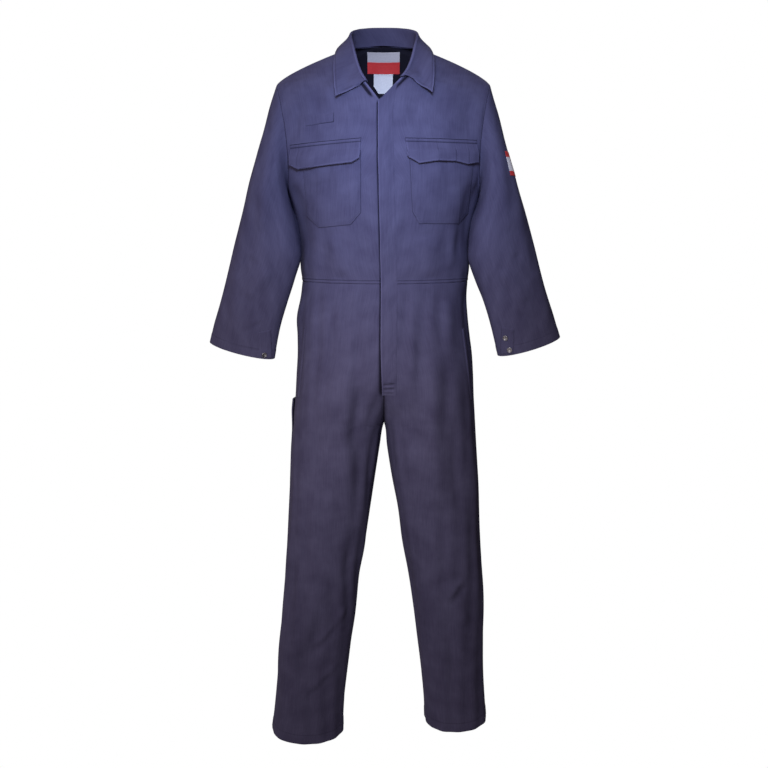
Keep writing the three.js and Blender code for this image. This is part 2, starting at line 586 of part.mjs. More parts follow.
function sleeveGrid(side) {
  const half = steps(ARMHOLE_ROWS).map(armholeAngle);
  const angles = [...half.toReversed(), ...half.slice(1).map((angle) => 2 * Math.PI - angle)];
  const alongs = steps(SLEEVE_ROWS).map((k) => CUFF_RING * k);
  return gridOver(alongs, angles, (along, angle) => {
    const face = Math.sin(angle) > 0 ? FRONT : BACK;
    const p = sleevePoint(side, angle, along);
    const ahead = sleevePoint(side, angle + 0.01, along);
    const behind = sleevePoint(side, angle - 0.01, along);
    const middle = sleevePoint(side, 0, along).add(sleevePoint(side, Math.PI, along)).multiplyScalar(0.5);
    const ringWay = ahead.sub(behind);
    const axis = sleevePoint(side, 0, along).sub(middle).cross(point(0, 1, 0));
    const n = ringWay.cross(axis).normalize();
    if (n.dot(p.clone().sub(middle)) < 0) n.negate();
    const fade = Math.abs(Math.sin(angle)) * ease(along / ARMHOLE_BLEND_RINGS) * ease((CUFF_RING - along) / CUFF_BEND_RINGS);
    p.addScaledVector(n, foldHeight(folds.sleeves, p, face) * fade);
    return { p, n };
  });
}

// A copy of a grid whose named edges are drawn back by half the seam gap; trousers keep to their own side too
function drawnBack(grid, edges, middleOf) {
  const rows = grid.points.length;
  const columns = grid.points[0].length;
  const copy = { points: grid.points.map((row) => row.map((p) => p.clone())), normals: grid.normals };
  const pull = (i, j, di, dj) => {
    const way = grid.points[i + di][j + dj].clone().sub(grid.points[i][j]).normalize();
    copy.points[i][j].addScaledVector(way, SEAM_GAP / 2);
  };
  for (let i = 0; i < rows; i++) {
    if (edges.includes("side")) pull(i, 0, 0, 1);
    const onMiddle = middleOf && Math.abs(grid.points[i][columns - 1].x) < SEAM_GAP / 2;
    if (edges.includes("centre") && !onMiddle) pull(i, columns - 1, 0, -1);
  }
  for (let j = 0; j < columns; j++) {
    if (edges.includes("first")) pull(0, j, 1, 0);
    if (edges.includes("last")) pull(rows - 1, j, -1, 0);
  }
  if (middleOf)
    for (const p of copy.points.flat()) if (Math.abs(p.x) < SEAM_GAP / 2) p.x = middleOf * (SEAM_GAP / 2);
  return copy;
}

const grids = {};
for (const side of [RIGHT, LEFT]) {
  grids["front_" + sideName(side)] = bodiceGrid(side, FRONT);
  grids["back_" + sideName(side)] = bodiceGrid(side, BACK);
  grids["leg_front_" + sideName(side)] = trouserGrid(side, FRONT);
  grids["leg_back_" + sideName(side)] = trouserGrid(side, BACK);
  grids["sleeve_" + sideName(side)] = sleeveGrid(side);
}

function panel(names, edges, middleOf = 0) {
  const sheet = newSheet();
  for (const name of names) addGrid(sheet, drawnBack(grids[name], edges, middleOf));
  return wallOver(sheet, -CLOTH, CLOTH);
}

for (const side of [RIGHT, LEFT]) {
  const name = sideName(side);
  addMesh("front_" + name, panel(["front_" + name], ["side", "centre", "first", "last"]), navy);
  addMesh("leg_front_" + name, panel(["leg_front_" + name], ["side", "centre", "first"], side), navy);
  addMesh("leg_back_" + name, panel(["leg_back_" + name], ["side", "centre", "first"], side), navy);
  addMesh("sleeve_" + name, panel(["sleeve_" + name], []), navy);
}
addMesh("back", panel(["back_right", "back_left"], ["side", "first", "last"]), navy);

// The place of a surface nearest to a target, found by ever finer steps, with its normal towards the target
// or, where one is given, along the outward direction
function nearest(surface, target, from, reach, outward) {
  let [bestU, bestV] = from;
  let [stepU, stepV] = reach.map((value) => value / 4);
  for (let round = 0; round < 7; round++) {
    let best = Infinity;
    const [midU, midV] = [bestU, bestV];
    for (let i = -4; i <= 4; i++)
      for (let j = -4; j <= 4; j++) {
        const [u, v] = [clamp01(midU + i * stepU), clamp01(midV + j * stepV)];
        const away = surface(u, v).distanceToSquared(target);
        if (away < best) [best, bestU, bestV] = [away, u, v];
      }
    stepU *= 0.4;
    stepV *= 0.4;
  }
  const [inU, inV] = [bestU, bestV].map((value) => Math.min(0.995, Math.max(0.005, value)));
  const found = surface(bestU, bestV);
  return { p: found, n: normalOf(surface, inU, inV, 0.004, 0.004, outward ?? target.clone().sub(found)) };
}

// A point of the collar's leaf, held clear of the bodice below it
function clearOfBodice(side, p, clearance) {
  const face = p.y < SIDE_NECK.y ? FRONT : BACK;
  const surface = (u, v) => bodicePoint(side, face, u, v);
  const lie = nearest(surface, p.clone().add(point(0, face * 15, 15)), [0.75, 0.85], [0.25, 0.15]);
  const height = p.clone().sub(lie.p).dot(lie.n);
  return height < clearance ? p.clone().addScaledVector(lie.n, clearance - height) : p;
}

// The neck seam at a station of the collar, a little outside the bodice's edge
function neckSeam(side, at) {
  const face = at > COLLAR.side ? FRONT : BACK;
  const neckV = face === FRONT ? V_POINT_V : BACK_NECK_V;
  const t = face === FRONT ? mix(1, COLLAR_END[side], (at - COLLAR.side) / (1 - COLLAR.side)) : at / COLLAR.side;
  const surface = (u, v) => bodicePoint(side, face, u, v);
  const v = neckV + t * (1 - neckV);
  const seam = surface(1, v);
  const inV = Math.min(0.995, Math.max(neckV + 0.004, v));
  const n = normalOf(surface, 0.995, inV, 0.004, 0.003, point(side * 0.3, face * 0.5, 1));
  const edge = surface(1, inV + 0.003).sub(surface(1, inV - 0.003)).normalize();
  const away = n.clone().cross(edge).normalize();
  const outward = seam.clone().sub(surface(0.9, v - 0.04));
  if (away.dot(outward) < 0) away.negate();
  if (at === 0) [n.x, away.x] = [0, 0];
  return seam.addScaledVector(n, -CLOTH / 2).addScaledVector(away, COLLAR.rise);
}

// One section of the collar, from the neck seam up the stand, over the fold and down the leaf
function collarSection(side, at) {
  const value = (column) => read(collarStations, "at", column, at);
  const lift = side === LEFT ? COLLAR.leftLift * at ** 4 : 0;
  const seam = neckSeam(side, at);
  const fold = point(side * value("foldX"), value("foldY"), value("foldZ") + lift);
  const rough = point(side * value("edgeX"), value("edgeY"), value("edgeZ") + lift);
  const edge = clearOfBodice(side, rough, COLLAR.lie);
  const up = fold.clone().sub(seam).normalize();
  const out = edge.clone().sub(fold).setZ(0).normalize();
  out.addScaledVector(up, -out.dot(up)).normalize();
  const middle = fold.clone().addScaledVector(up, -COLLAR.foldRadius);
  const round = (angle) =>
    middle
      .clone()
      .addScaledVector(out, -COLLAR.foldRadius * Math.cos(angle))
      .addScaledVector(up, COLLAR.foldRadius * Math.sin(angle));
  const points = [seam, seam.clone().lerp(round(0), 0.5)];
  for (const angle of [0, Math.PI / 3, (2 * Math.PI) / 3, Math.PI]) points.push(round(angle));
  const start = round(Math.PI);
  const length = start.distanceTo(edge);
  const leave = start.clone().addScaledVector(up, -0.3 * length).addScaledVector(out, 0.12 * length);
  const arrive = start.clone().lerp(edge, 0.6).addScaledVector(out, 0.1 * length).add(point(0, 0, 0.05 * length));
  for (const t of [0.3, 0.6, 0.82]) points.push(clearOfBodice(side, bezier(start, leave, arrive, edge, t), COLLAR.lie));
  points.push(edge);
  return points;
}

function collarGrid() {
  const stations = steps(COLLAR.columns).map((k) => 2 * k - 1);
  const sections = stations.map((w) => collarSection(w < 0 ? RIGHT : LEFT, Math.abs(w)));
  const rows = sections[0].length;
  const grid = { points: [], normals: [] };
  for (let i = 0; i < rows; i++) {
    grid.points.push(sections.map((section) => section[i]));
    grid.normals.push(
      sections.map((section, j) => {
        const along = section[Math.min(rows - 1, i + 1)].clone().sub(section[Math.max(0, i - 1)]);
        const next = sections[Math.min(sections.length - 1, j + 1)][i];
        const before = sections[Math.max(0, j - 1)][i];
        return along.cross(next.clone().sub(before)).normalize();
      }),
    );
  }
  return grid;
}

addMesh("collar", wallOver(addGrid(newSheet(), collarGrid()), -COLLAR.thickness / 2, COLLAR.thickness), navy);

// What lies on a panel follows the panel's own points, moved out by the lift
function patch(names, lift, thickness, cutter) {
  const sheet = newSheet();
  for (const name of names) addGrid(sheet, grids[name]);
  return wallOver(sheet, lift, thickness).intersect(cutter);
}

// Fullness of a patch inside the box of its outline: none at its edges, all of it in the middle
function fullness(outline, p) {
  const xs = outline.map(([x]) => x);
  const zs = outline.map(([, z]) => z);
  const across = (p.x - (Math.min(...xs) + Math.max(...xs)) / 2) / ((Math.max(...xs) - Math.min(...xs)) / 2);
  const along = (p.z - (Math.min(...zs) + Math.max(...zs)) / 2) / ((Math.max(...zs) - Math.min(...zs)) / 2);
  return ease(1 - across * across) * ease(1 - along * along);
}

for (const side of [RIGHT, LEFT]) {
  const name = sideName(side);
  const pocket = pocketOutline[side];
  const pocketLift = (p) => LAY_GAP + POCKET_FULLNESS * fullness(pocket, p);
  addMesh("pocket_" + name, patch(["front_" + name], pocketLift, PATCH, frontPrism(pocket)), navy);
  const flapTop = flapOutline[side][0][1];
  const flapLift = (p) => LAY_GAP + FLAP_LIFT[side] * ease((flapTop - 2 - p.z) / 30);
  addMesh("flap_" + name, patch(["front_" + name], flapLift, PATCH, frontPrism(flapOutline[side])), navy);
  const welt = frontPrism(hipWeltOutline[side]);
  addMesh("hip_welt_" + name, patch(["leg_front_" + name], LAY_GAP, PATCH, welt), navy);
  const lap = frontPrism(cuffLapOutline[side], CUFF_FRONT_Y);
  addMesh("cuff_lap_" + name, patch(["sleeve_" + name], LAY_GAP, PATCH, lap), navy);
}
addMesh("chest_tab", patch(["front_right"], LAY_GAP, PATCH, frontPrism(chestTabOutline)), navy);

const placketPanels = ["front_right", "front_left", "leg_front_right", "leg_front_left"];
const placketLift = (p) => LAY_GAP + PLACKET_BRIDGE.height * ease((PLACKET_BRIDGE.fromZ - p.z) / PLACKET_BRIDGE.over);
addMesh("placket", patch(placketPanels, placketLift, CLOTH, frontPrism(placketOutline)), navy);

const ruleOutline = [
  [-rulePocket.toY, rulePocket.topZ],
  [-rulePocket.toY, rulePocket.bottomZ],
  [-rulePocket.fromY, rulePocket.bottomZ],
  [-rulePocket.fromY, rulePocket.topZ],
];
const ruleCutter = prism(ruleOutline, point(-120, 0, 0), point(-1, 0, 0), 180);
const ruleLift = (p) => LAY_GAP + rulePocket.mouthLift * ease((p.z - rulePocket.topZ + 110) / 90);
addMesh("rule_pocket", patch(["leg_back_right"], ruleLift, PATCH, ruleCutter), navy);

// Labels
const red = { color: 0xb5252c, roughness: 0.7, metalness: 0 };
const white = { color: 0xe9e9ee, roughness: 0.7, metalness: 0 };
const INSIDE = -(CLOTH + LAY_GAP + LABEL);
const backHalves = ["back_right", "back_left"];
addMesh("neck_label", patch(backHalves, INSIDE, LABEL, backPrism(neckLabelOutline)), red);
addMesh("care_label", patch(backHalves, INSIDE, LABEL, backPrism(careLabelOutline)), white);

const sleeveSurface = (side) => (u, v) => sleevePoint(side, Math.PI * (0.5 + (u - 0.5) * 2), CUFF_RING * v);
const labelNear = point(...sleeveLabel.near);
const labelPlace = nearest(sleeveSurface(LEFT), labelNear, [0.4, 0.25], [0.4, 0.2], point(1, -1, 0));
const corner = (x, y) => [
  (x * sleeveLabel.width * Math.cos(sleeveLabel.tilt) - y * sleeveLabel.length * Math.sin(-sleeveLabel.tilt)) / 2,
  (x * sleeveLabel.width * Math.sin(-sleeveLabel.tilt) + y * sleeveLabel.length * Math.cos(sleeveLabel.tilt)) / 2,
];
const labelStart = labelPlace.p.clone().addScaledVector(labelPlace.n, -30);
const labelCutter = prism([corner(-1, 1), corner(-1, -1), corner(1, -1), corner(1, 1)], labelStart, labelPlace.n, 60);
addMesh("sleeve_label", patch(["sleeve_left"], LAY_GAP, LABEL, labelCutter), white);

// Studs: a flat cap with a turned edge, its foot on the lap
const metal = { color: 0x3a3c44, roughness: 0.35, metalness: 1 };
const studProfile = [
  [0, 0],
  [STUD.radius, 0],
  [STUD.radius, STUD.height - STUD.edge],
  [STUD.radius - STUD.edge, STUD.height],
  [STUD.radius * 0.55, STUD.height - 0.4],
  [0, STUD.height - 0.6],
].map(([x, y]) => new THREE.Vector2(x, y));
for (const side of [RIGHT, LEFT])
  studPlaces[side].forEach((place, k) => {
    const seat = nearest(sleeveSurface(side), point(...place), [0.5, 0.95], [0.4, 0.15], point(0, -1, 0));
    const geometry = new THREE.LatheGeometry(studProfile, 20);
    const turn = new THREE.Quaternion().setFromUnitVectors(point(0, 1, 0), seat.n);
    geometry.applyQuaternion(turn);
    const foot = seat.p.addScaledVector(seat.n, LAY_GAP + PATCH + STUD.seat);
    geometry.translate(foot.x, foot.y, foot.z);
    addMesh("cuff_stud_" + sideName(side) + (k ? "_" + (k + 1) : ""), solidOf(geometry), metal);
  });

export default group;
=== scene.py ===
import math

import bmesh
import bpy
import numpy as np
from mathutils import Matrix, Vector
from mathutils.bvhtree import BVHTree


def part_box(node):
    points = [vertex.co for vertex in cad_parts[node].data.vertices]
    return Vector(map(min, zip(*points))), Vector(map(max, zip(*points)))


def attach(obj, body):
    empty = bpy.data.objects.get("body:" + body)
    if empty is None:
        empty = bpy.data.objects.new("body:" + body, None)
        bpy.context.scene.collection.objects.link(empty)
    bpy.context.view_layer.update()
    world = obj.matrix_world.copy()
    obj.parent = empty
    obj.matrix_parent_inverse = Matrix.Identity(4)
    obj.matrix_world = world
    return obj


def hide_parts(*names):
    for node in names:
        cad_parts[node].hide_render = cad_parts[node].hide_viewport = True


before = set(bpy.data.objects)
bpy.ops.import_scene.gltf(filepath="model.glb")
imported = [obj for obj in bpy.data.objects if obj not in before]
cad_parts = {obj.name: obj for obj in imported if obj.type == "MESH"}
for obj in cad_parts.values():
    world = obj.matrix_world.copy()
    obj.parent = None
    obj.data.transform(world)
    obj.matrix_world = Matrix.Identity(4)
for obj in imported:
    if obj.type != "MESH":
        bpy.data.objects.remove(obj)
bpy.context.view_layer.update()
scene = bpy.context.scene

# Lengths in the tables are millimetres, in the frame's axes: the wearer faces -Y and their right is at -X.
mm = 0.001
right, left = -1, 1
front, back = -1, 1
sideNames = {right: "right", left: "left"}

# Numbers and tables


def ease(t):
    t = np.clip(t, 0, 1)
    return t * t * (3 - 2 * t)


def mix(a, b, t):
    return a + (b - a) * t


def columns(names, rows):
    return dict(zip(names.split(), np.array(rows, float).T))


def read(table, by, column, value):
    # A smooth curve through one column of a table, read by another column.
    at, values = table[by], table[column]
    rising = 1 if at[0] < at[-1] else -1
    value = np.asarray(value, float)
    k = np.clip(np.searchsorted(rising * at, rising * value), 1, len(at) - 1)
    before, after = np.r_[0, np.arange(len(at) - 1)], np.r_[np.arange(1, len(at)), len(at) - 1]
    slope = (values[after] - values[before]) / (at[after] - at[before])
    span = at[k] - at[k - 1]
    t = np.clip((value - at[k - 1]) / span, 0, 1)
    smooth = values[k - 1] + (values[k] - values[k - 1]) * (3 * t**2 - 2 * t**3)
    return smooth + t * (1 - t) ** 2 * span * slope[k - 1] + t**2 * (t - 1) * span * slope[k]


def stacked(x, y, z):
    return np.stack(np.broadcast_arrays(x, y, z), axis=-1).astype(float)


def unit(v):
    return v / np.maximum(np.linalg.norm(v, axis=-1, keepdims=True), 1e-9)


def bezier(a, b, c, d, t):
    t = np.asarray(t)[..., None]
    s = 1 - t
    return a * s**3 + 3 * b * s**2 * t + 3 * c * s * t**2 + d * t**3


# The form of the suit, as in the solids that it was packed with

waist = {"side": -531, "centre": -533.5, "bowReach": 120}
underarmZ, shoulderZ, crotchZ, hemZ = -325, -75, -875, -1615
fullness = 0.6
underarmV, lapV, sideSeamBack = 0.4, 0.3, 12
neckV = {front: 0.7, back: 0.8}
neckZ = {front: -119, back: 22}
vPointX = -10
armhole = {"middleZ": -200, "halfHeight": 125, "depth": 74, "topX": {right: 251, left: 248}, "bottomX": 225, "inset": 13}
shoulderLine = {"fromArmhole": 15, "rise": 24, "hollow": 70, "fromNeck": 52, "fall": 18}

bodiceTable = columns("z right left front back", [
    (22, 226, 226, 60, 72), (-30, 226, 226, 92, 102), (-75, 226, 226, 110, 119), (-119, 226, 226, 121, 130),
    (-200, 226, 226, 136, 142), (-325, 225, 225, 142, 142), (-362, 215, 216, 141, 137), (-404, 206, 208, 139, 132),
    (-450, 200, 203, 135, 126), (-501, 198, 202, 130, 122), (-531, 193, 198, 127, 121),
])

trouserTable = columns("z outerRight outerLeft innerRight innerLeft front back forwardRight forwardLeft", [
    (-531, 193, 198, -193, -198, 127, 121, 0, 0), (-570, 198, 196, -198, -196, 128, 126, 0, 0),
    (-615, 207, 199, -207, -199, 131, 135, 0, 0), (-660, 206, 204, -204, -202, 135, 143, 0, 0),
    (-706, 206, 210, -172, -172, 137, 147, 0, 0), (-753, 209, 213, -112, -112, 138, 147, 0, 0),
    (-807, 212, 215, -45, -45, 132, 140, 0, 0), (-840, 215, 217, -16, -16, 126, 133, 0, 0),
    (-875, 217, 219, 1.5, 1.5, 120, 127, 0, 0), (-924, 222, 222, 10, 7, 113, 120, -1, 0),
    (-1002, 226, 227, 22, 19, 104, 111, -4, 2), (-1081, 230, 230, 34, 34, 96, 103, -8, 4),
    (-1160, 234, 234, 46, 44, 90, 97, -12, 5), (-1240, 239, 239, 60, 59, 84, 91, -17, 6),
    (-1320, 246, 242, 68, 71, 79, 85, -22, 7), (-1400, 252, 243, 80, 81, 75, 79, -27, 8),
    (-1481, 258, 244, 90, 91, 72, 75, -31, 9), (-1563, 266, 248, 99, 98, 70, 72, -34, 10),
    (-1620, 273, 252, 100, 100, 69, 70, -36, 10),
])
hemDrop = {front: 20, back: -6, "reach": 130, "left": 12}

sleeveNames = "ring outerX outerZ innerX innerZ depth forward"
sleeveTables = {
    right: columns(sleeveNames, [
        (0, 251, -75, 226, -325, 74, 0), (1, 266, -125, 223, -343, 77, 9), (2, 283, -187, 218, -362, 78, 20),
        (3, 298, -243, 209.5, -385, 76, 31), (4, 314, -302, 203, -412, 72, 41), (5, 328, -362, 198, -445, 68, 48),
        (6, 344, -425, 196.5, -485, 63, 53), (7, 359, -490, 209, -530, 57, 56), (8, 374, -547, 226, -577, 51, 58),
        (9, 392, -610, 243, -637, 43, 60), (10, 408, -671, 257, -709, 31, 61),
    ]),
    left: columns(sleeveNames, [
        (0, 248, -75, 226, -325, 74, 0), (1, 263, -135, 223, -343, 77, 9), (2, 279, -193, 219, -362, 78, 20),
        (3, 293, -246, 210.5, -385, 76, 31), (4, 310, -302, 204.5, -412, 72, 41), (5, 328, -362, 200.5, -445, 68, 48),
        (6, 344, -425, 200, -486, 63, 53), (7, 361, -490, 215, -532, 57, 56), (8, 377, -548, 232, -577, 51, 58),
        (9, 397, -610, 250, -634, 43, 60), (10, 412, -659, 267, -702, 31, 61),
    ]),
}
cuffDrop = 9

necklines = {
    right: columns("t x y z", [
        (0, 10, -121, -119), (0.28, 40, -103, -79), (0.5, 57, -82, -59), (0.68, 69, -56, -36),
        (0.84, 77, -28, -12), (1, 81, 2, 9),
    ]),
    left: columns("t x y z", [
        (0, -10, -121, -119), (0.36, 38, -98, -67), (0.52, 55, -80, -53), (0.68, 68, -56, -34),
        (0.84, 77, -28, -11), (1, 81, 2, 9),
    ]),
}
backNeckline = columns("t x y z", [
    (-0.35, -38, 65, 20.5), (0, 0, 72, 22), (0.35, 38, 65, 20.5), (0.7, 70, 38, 15), (1, 81, 2, 9),
])


def armholePoint(side, angle):
    down = (1 - np.cos(angle)) / 2
    x = mix(armhole["topX"][side], armhole["bottomX"], down) - armhole["inset"] * np.sin(angle) ** 2
    return stacked(side * x, -armhole["depth"] * np.sin(angle), armhole["middleZ"] + armhole["halfHeight"] * np.cos(angle))


def armholeAngle(share):
    return math.pi * np.clip(1 - share, 0, 1) ** 1.3


def bodiceSide(side, face, v):
    angle = armholeAngle((v - underarmV) / (1 - underarmV))
    above = armholePoint(side, angle if face == front else -angle)
    z = mix(waist["side"], underarmZ, v / underarmV)
    seamBack = sideSeamBack * np.sin(np.pi * np.clip(v / underarmV, 0, 1))
    below = stacked(side * read(bodiceTable, "z", sideNames[side], z), seamBack, z)
    return np.where((v >= underarmV)[..., None], above, below)


def bodiceCentre(side, face, v):
    line = necklines[side] if face == front else backNeckline
    t = (v - neckV[face]) / (1 - neckV[face])
    above = stacked(side * read(line, "t", "x", t), read(line, "t", "y", t), read(line, "t", "z", t))
    z = mix(waist["centre"], neckZ[face], np.minimum(v / neckV[face], 1))
    depth = face * read(bodiceTable, "z", "front" if face == front else "back", z)
    lap = vPointX * ease((v - neckV[face] + lapV) / lapV) if face == front else 0 * v
    return np.where((v > neckV[face])[..., None], above, stacked(lap, depth, z))


def bodicePoint(side, face, u, v):
    # u runs from the side seam and armhole to the centre, v from the waist to the shoulder seam.
    a, b = bodiceSide(side, face, v), bodiceCentre(side, face, v)
    up = ease((v - underarmV) / (1 - underarmV))
    width = np.abs(a[..., 0] - b[..., 0])
    inward = shoulderLine["fromArmhole"] * up + shoulderLine["hollow"] * up * (1 - up)
    sideHandle = stacked(-side * inward, fullness * (b[..., 1] - a[..., 1]) * (1 - up), shoulderLine["rise"] * up)
    reach = mix(fullness * width, shoulderLine["fromNeck"], up)
    return bezier(a, a + sideHandle, b + stacked(side * reach, 0, -shoulderLine["fall"] * up), b, u)


def quarterAcross(t):
    return (1 - t) ** 3 + 3 * (1 - t) ** 2 * t + 3 * (1 - t) * t**2 * fullness


def trouserPoint(side, face, u, z):
    # u runs from the side seam to the centre seam or inseam.
    name = sideNames[side].capitalize()
    outer = read(trouserTable, "z", "outer" + name, z)
    inner = np.maximum(-outer, read(trouserTable, "z", "inner" + name, z))
    depth = read(trouserTable, "z", "front" if face == front else "back", z)
    middle, half = (outer + inner) / 2, (outer - inner) / 2

    def across(t):
        return np.where(t < 1, middle + half * quarterAcross(t), middle - half * quarterAcross(2 - t))

    low, end = np.ones_like(z), np.full_like(z, 2.0)
    for _ in range(30):
        guess = (low + end) / 2
        outside = across(guess) > 0
        low, end = np.where(outside, guess, low), np.where(outside, end, guess)
    t = u * np.where(inner < 0, end, 2.0)
    out = np.where(t < 1, quarterAcross(1 - t), quarterAcross(1 - (2 - t)))
    forward = np.where(z < crotchZ, read(trouserTable, "z", "forward" + name, z), 0)
    bow = (waist["centre"] - waist["side"]) * ease(u) * np.clip(1 - (waist["side"] - z) / waist["bowReach"], 0, 1)
    atHem = ease((hemDrop["reach"] - (z - hemZ)) / hemDrop["reach"])
    drop = hemDrop[face] * out - (hemDrop["left"] if side == left else 0)
    return stacked(side * across(t), forward + face * depth * out, z + bow - atHem * drop)


def sleevePoint(side, angle, along):
    table = sleeveTables[side]
    value = {name: read(table, "ring", name, along) for name in sleeveNames.split()[1:]}
    outer = stacked(side * value["outerX"], 0, value["outerZ"])
    inner = stacked(side * value["innerX"], 0, value["innerZ"])
    drop = cuffDrop * np.maximum(0, np.sin(angle)) * ease((along - 8.5) / 1.5)
    ring = (outer + inner) / 2 + (outer - inner) * np.cos(angle)[..., None] / 2
    ring = ring + stacked(0, -value["depth"] * np.sin(angle) - value["forward"], -drop)
    blend = (np.clip(1 - along / 2, 0, 1) ** 2)[..., None]
    return ring * (1 - blend) + armholePoint(side, angle) * blend


# Cloth as grids of points: every sheet knows its normals and how far each point is from its four edges


def spaced(length, step, fine=(), fineStart=True, fineEnd=True):
    marks = list(np.linspace(0, 1, max(2, int(round(length / step)) + 1)))
    near = [d / length for d in fine]
    reach = max(near, default=0)
    kept = [m for m in marks if (m > reach or not fineStart) and (m < 1 - reach or not fineEnd)]
    kept += near * fineStart + [1 - d for d in near] * fineEnd
    return np.unique(np.round(kept + [0, 1], 6))


seamMarks = (0, 0.6, 1.2, 2, 2.8, 3.8, 5.2, 6.6, 7.4, 8.2, 9, 10, 12)
hemMarks = (0, 0.8, 2, 5, 10, 15, 19, 21, 22, 23, 25)


def normalsOf(points, outward):
    n = unit(np.cross(np.gradient(points, axis=1), np.gradient(points, axis=0)))
    return n if (n * outward).sum() > 0 else -n


def runs(points, axis):
    step = np.linalg.norm(np.diff(points, axis=axis), axis=-1)
    start = np.zeros_like(np.take(step, [0], axis))
    return np.concatenate([start, np.cumsum(step, axis)], axis)


def sheetOf(points, outward):
    across, along = runs(points, 1), runs(points, 0)
    return {
        "points": points,
        "normals": normalsOf(points, outward),
        "uv": np.stack([across, along], -1) * mm,
        "edges": {"start": across, "end": across[:, -1:] - across, "bottom": along, "top": along[-1:] - along},
        "shade": np.zeros(points.shape[:2]),
    }


def lift(sheet, height):
    sheet["points"] = sheet["points"] + sheet["normals"] * np.asarray(height)[..., None]


def foldHeight(folds, points, face):
    # Soft ridges and troughs along bowed lines seen from the front or back; each dies away towards its ends.
    height = np.zeros(points.shape[:-1])
    for fold in folds:
        if fold[0] != face:
            continue
        x1, z1, x2, z2, bow, tall, width = fold[1:]
        t = np.linspace(0, 1, 9)
        line = np.stack([mix(x1, x2, t) + bow * 4 * t * (1 - t), mix(z1, z2, t)], -1)
        away, place = np.full(height.shape, 1e9), np.zeros(height.shape)
        for k in range(len(t) - 1):
            span = line[k + 1] - line[k]
            from1 = points[..., 0] - line[k, 0], points[..., 2] - line[k, 1]
            along = np.clip((from1[0] * span[0] + from1[1] * span[1]) / (span @ span), 0, 1)
            distance = np.hypot(from1[0] - along * span[0], from1[1] - along * span[1])
            place = np.where(distance < away, (k + along) / (len(t) - 1), place)
            away = np.minimum(away, distance)
        fade = ease(4 * place * (1 - place) * 1.4)
        height += tall * fade * np.exp(-((away / width) ** 2))
    return height


def slack(points, size, height, seed):
    # Gentle unevenness of worn cloth, from a few long waves that cross.
    rng = np.random.default_rng(seed)
    waves = np.zeros(points.shape[:-1])
    for _ in range(7):
        way = rng.normal(size=3) * (1, 1, 0.55)
        way *= 2 * math.pi / size / np.linalg.norm(way) * rng.uniform(0.7, 1.4)
        waves += np.sin(points @ way + rng.uniform(0, 2 * math.pi))
    return waves * height / 2.6


def felledSeam(sheet, edge, lines=(1.8, 7.6), raised=0.9, dip=0.7):
    # Layers folded together along an edge, held down by lines of stitching that sink into them.
    d = sheet["edges"][edge]
    layers = raised * (1 - ease((d - lines[-1] - 0.6) / 2.2)) * ease(d / 1.2)
    sunk = sum(dip * np.exp(-(((d - line) / 0.8) ** 2)) for line in lines)
    turned = 0.9 * (1 - ease(d / 1.3))
    lift(sheet, layers - sunk - turned)
    # Painted highlight on the raised layers, and painted shade along the outer stitch groove and at the folded edge.
    sunk = sum(dip * np.exp(-(((d - line) / 1.2) ** 2)) for line in lines[-1:])
    sheet["shade"] = sheet["shade"] + 0.25 * layers / max(raised, 0.1) - 1.3 * sunk / dip - 0.35 * turned / 0.9


def seamDip(sheet, edge, deep=1.0, over=1.6, darker=0.3):
    d = sheet["edges"][edge]
    turned = 1 - ease(d / over)
    lift(sheet, -deep * turned)
    # Painted shade along the seam.
    sheet["shade"] = sheet["shade"] - darker * turned


def turnedHem(sheet, edge, depth, raised=0.7):
    d = sheet["edges"][edge]
    sunk = np.exp(-(((d - depth) / 1.0) ** 2))
    lift(sheet, raised * (1 - ease((d - depth) / 2.5)) - 0.5 * sunk)
    # Painted shade along the hem's stitch line.
    sheet["shade"] = sheet["shade"] - 0.3 * sunk


def buildSheet(name, sheet, material, thickness, outer=True, welded=False, bevel=0):
    points, shape = sheet["points"], sheet["points"].shape
    bm = bmesh.new()
    bmesh.ops.create_grid(bm, x_segments=shape[1] - 1, y_segments=shape[0] - 1, size=0.5)
    spots = np.array([vert.co[:2] for vert in bm.verts])
    cells = (spots - spots.min(0)) / np.ptp(spots, axis=0) * (shape[1] - 1, shape[0] - 1)
    j, i = np.rint(cells).astype(int).T
    # Each point's painted shade and painted highlight go onto the mesh as an attribute.
    shadeLayer = bm.verts.layers.float.new("paintedShadeAndHighlight")
    for vert, place, shade in zip(bm.verts, (points[i, j] * mm).tolist(), sheet["shade"][i, j].tolist()):
        vert.co = place
        vert[shadeLayer] = shade
    uvLayer = bm.loops.layers.uv.new("UVMap")
    uv = sheet["uv"][i, j].tolist()
    bm.verts.index_update()
    for face in bm.faces:
        for loop in face.loops:
            loop[uvLayer].uv = uv[loop.vert.index]
    bm.normal_update()
    faceNormals = np.array([face.normal[:] for face in bm.faces])
    wanted = np.array([sheet["normals"][i[k], j[k]] for k in [face.verts[0].index for face in bm.faces]])
    if (faceNormals * wanted).sum() < 0:
        bmesh.ops.reverse_faces(bm, faces=bm.faces)
    if welded:
        bmesh.ops.remove_doubles(bm, verts=bm.verts, dist=1e-5)
    for face in bm.faces:
        face.smooth = True
    mesh = bpy.data.meshes.new(name)
    bm.to_mesh(mesh)
    bm.free()
    piece = bpy.data.objects.new(name, mesh)
    scene.collection.objects.link(piece)
    mesh.materials.append(material)
    wall = piece.modifiers.new("cloth thickness", "SOLIDIFY")
    wall.thickness = thickness * mm
    wall.offset = -1 if outer else 1
    if bevel:
        edge = piece.modifiers.new("rolled edge", "BEVEL")
        edge.width = bevel * mm
        edge.segments = 2
        edge.limit_method = "ANGLE"
        edge.angle_limit = math.radians(55)
    return piece


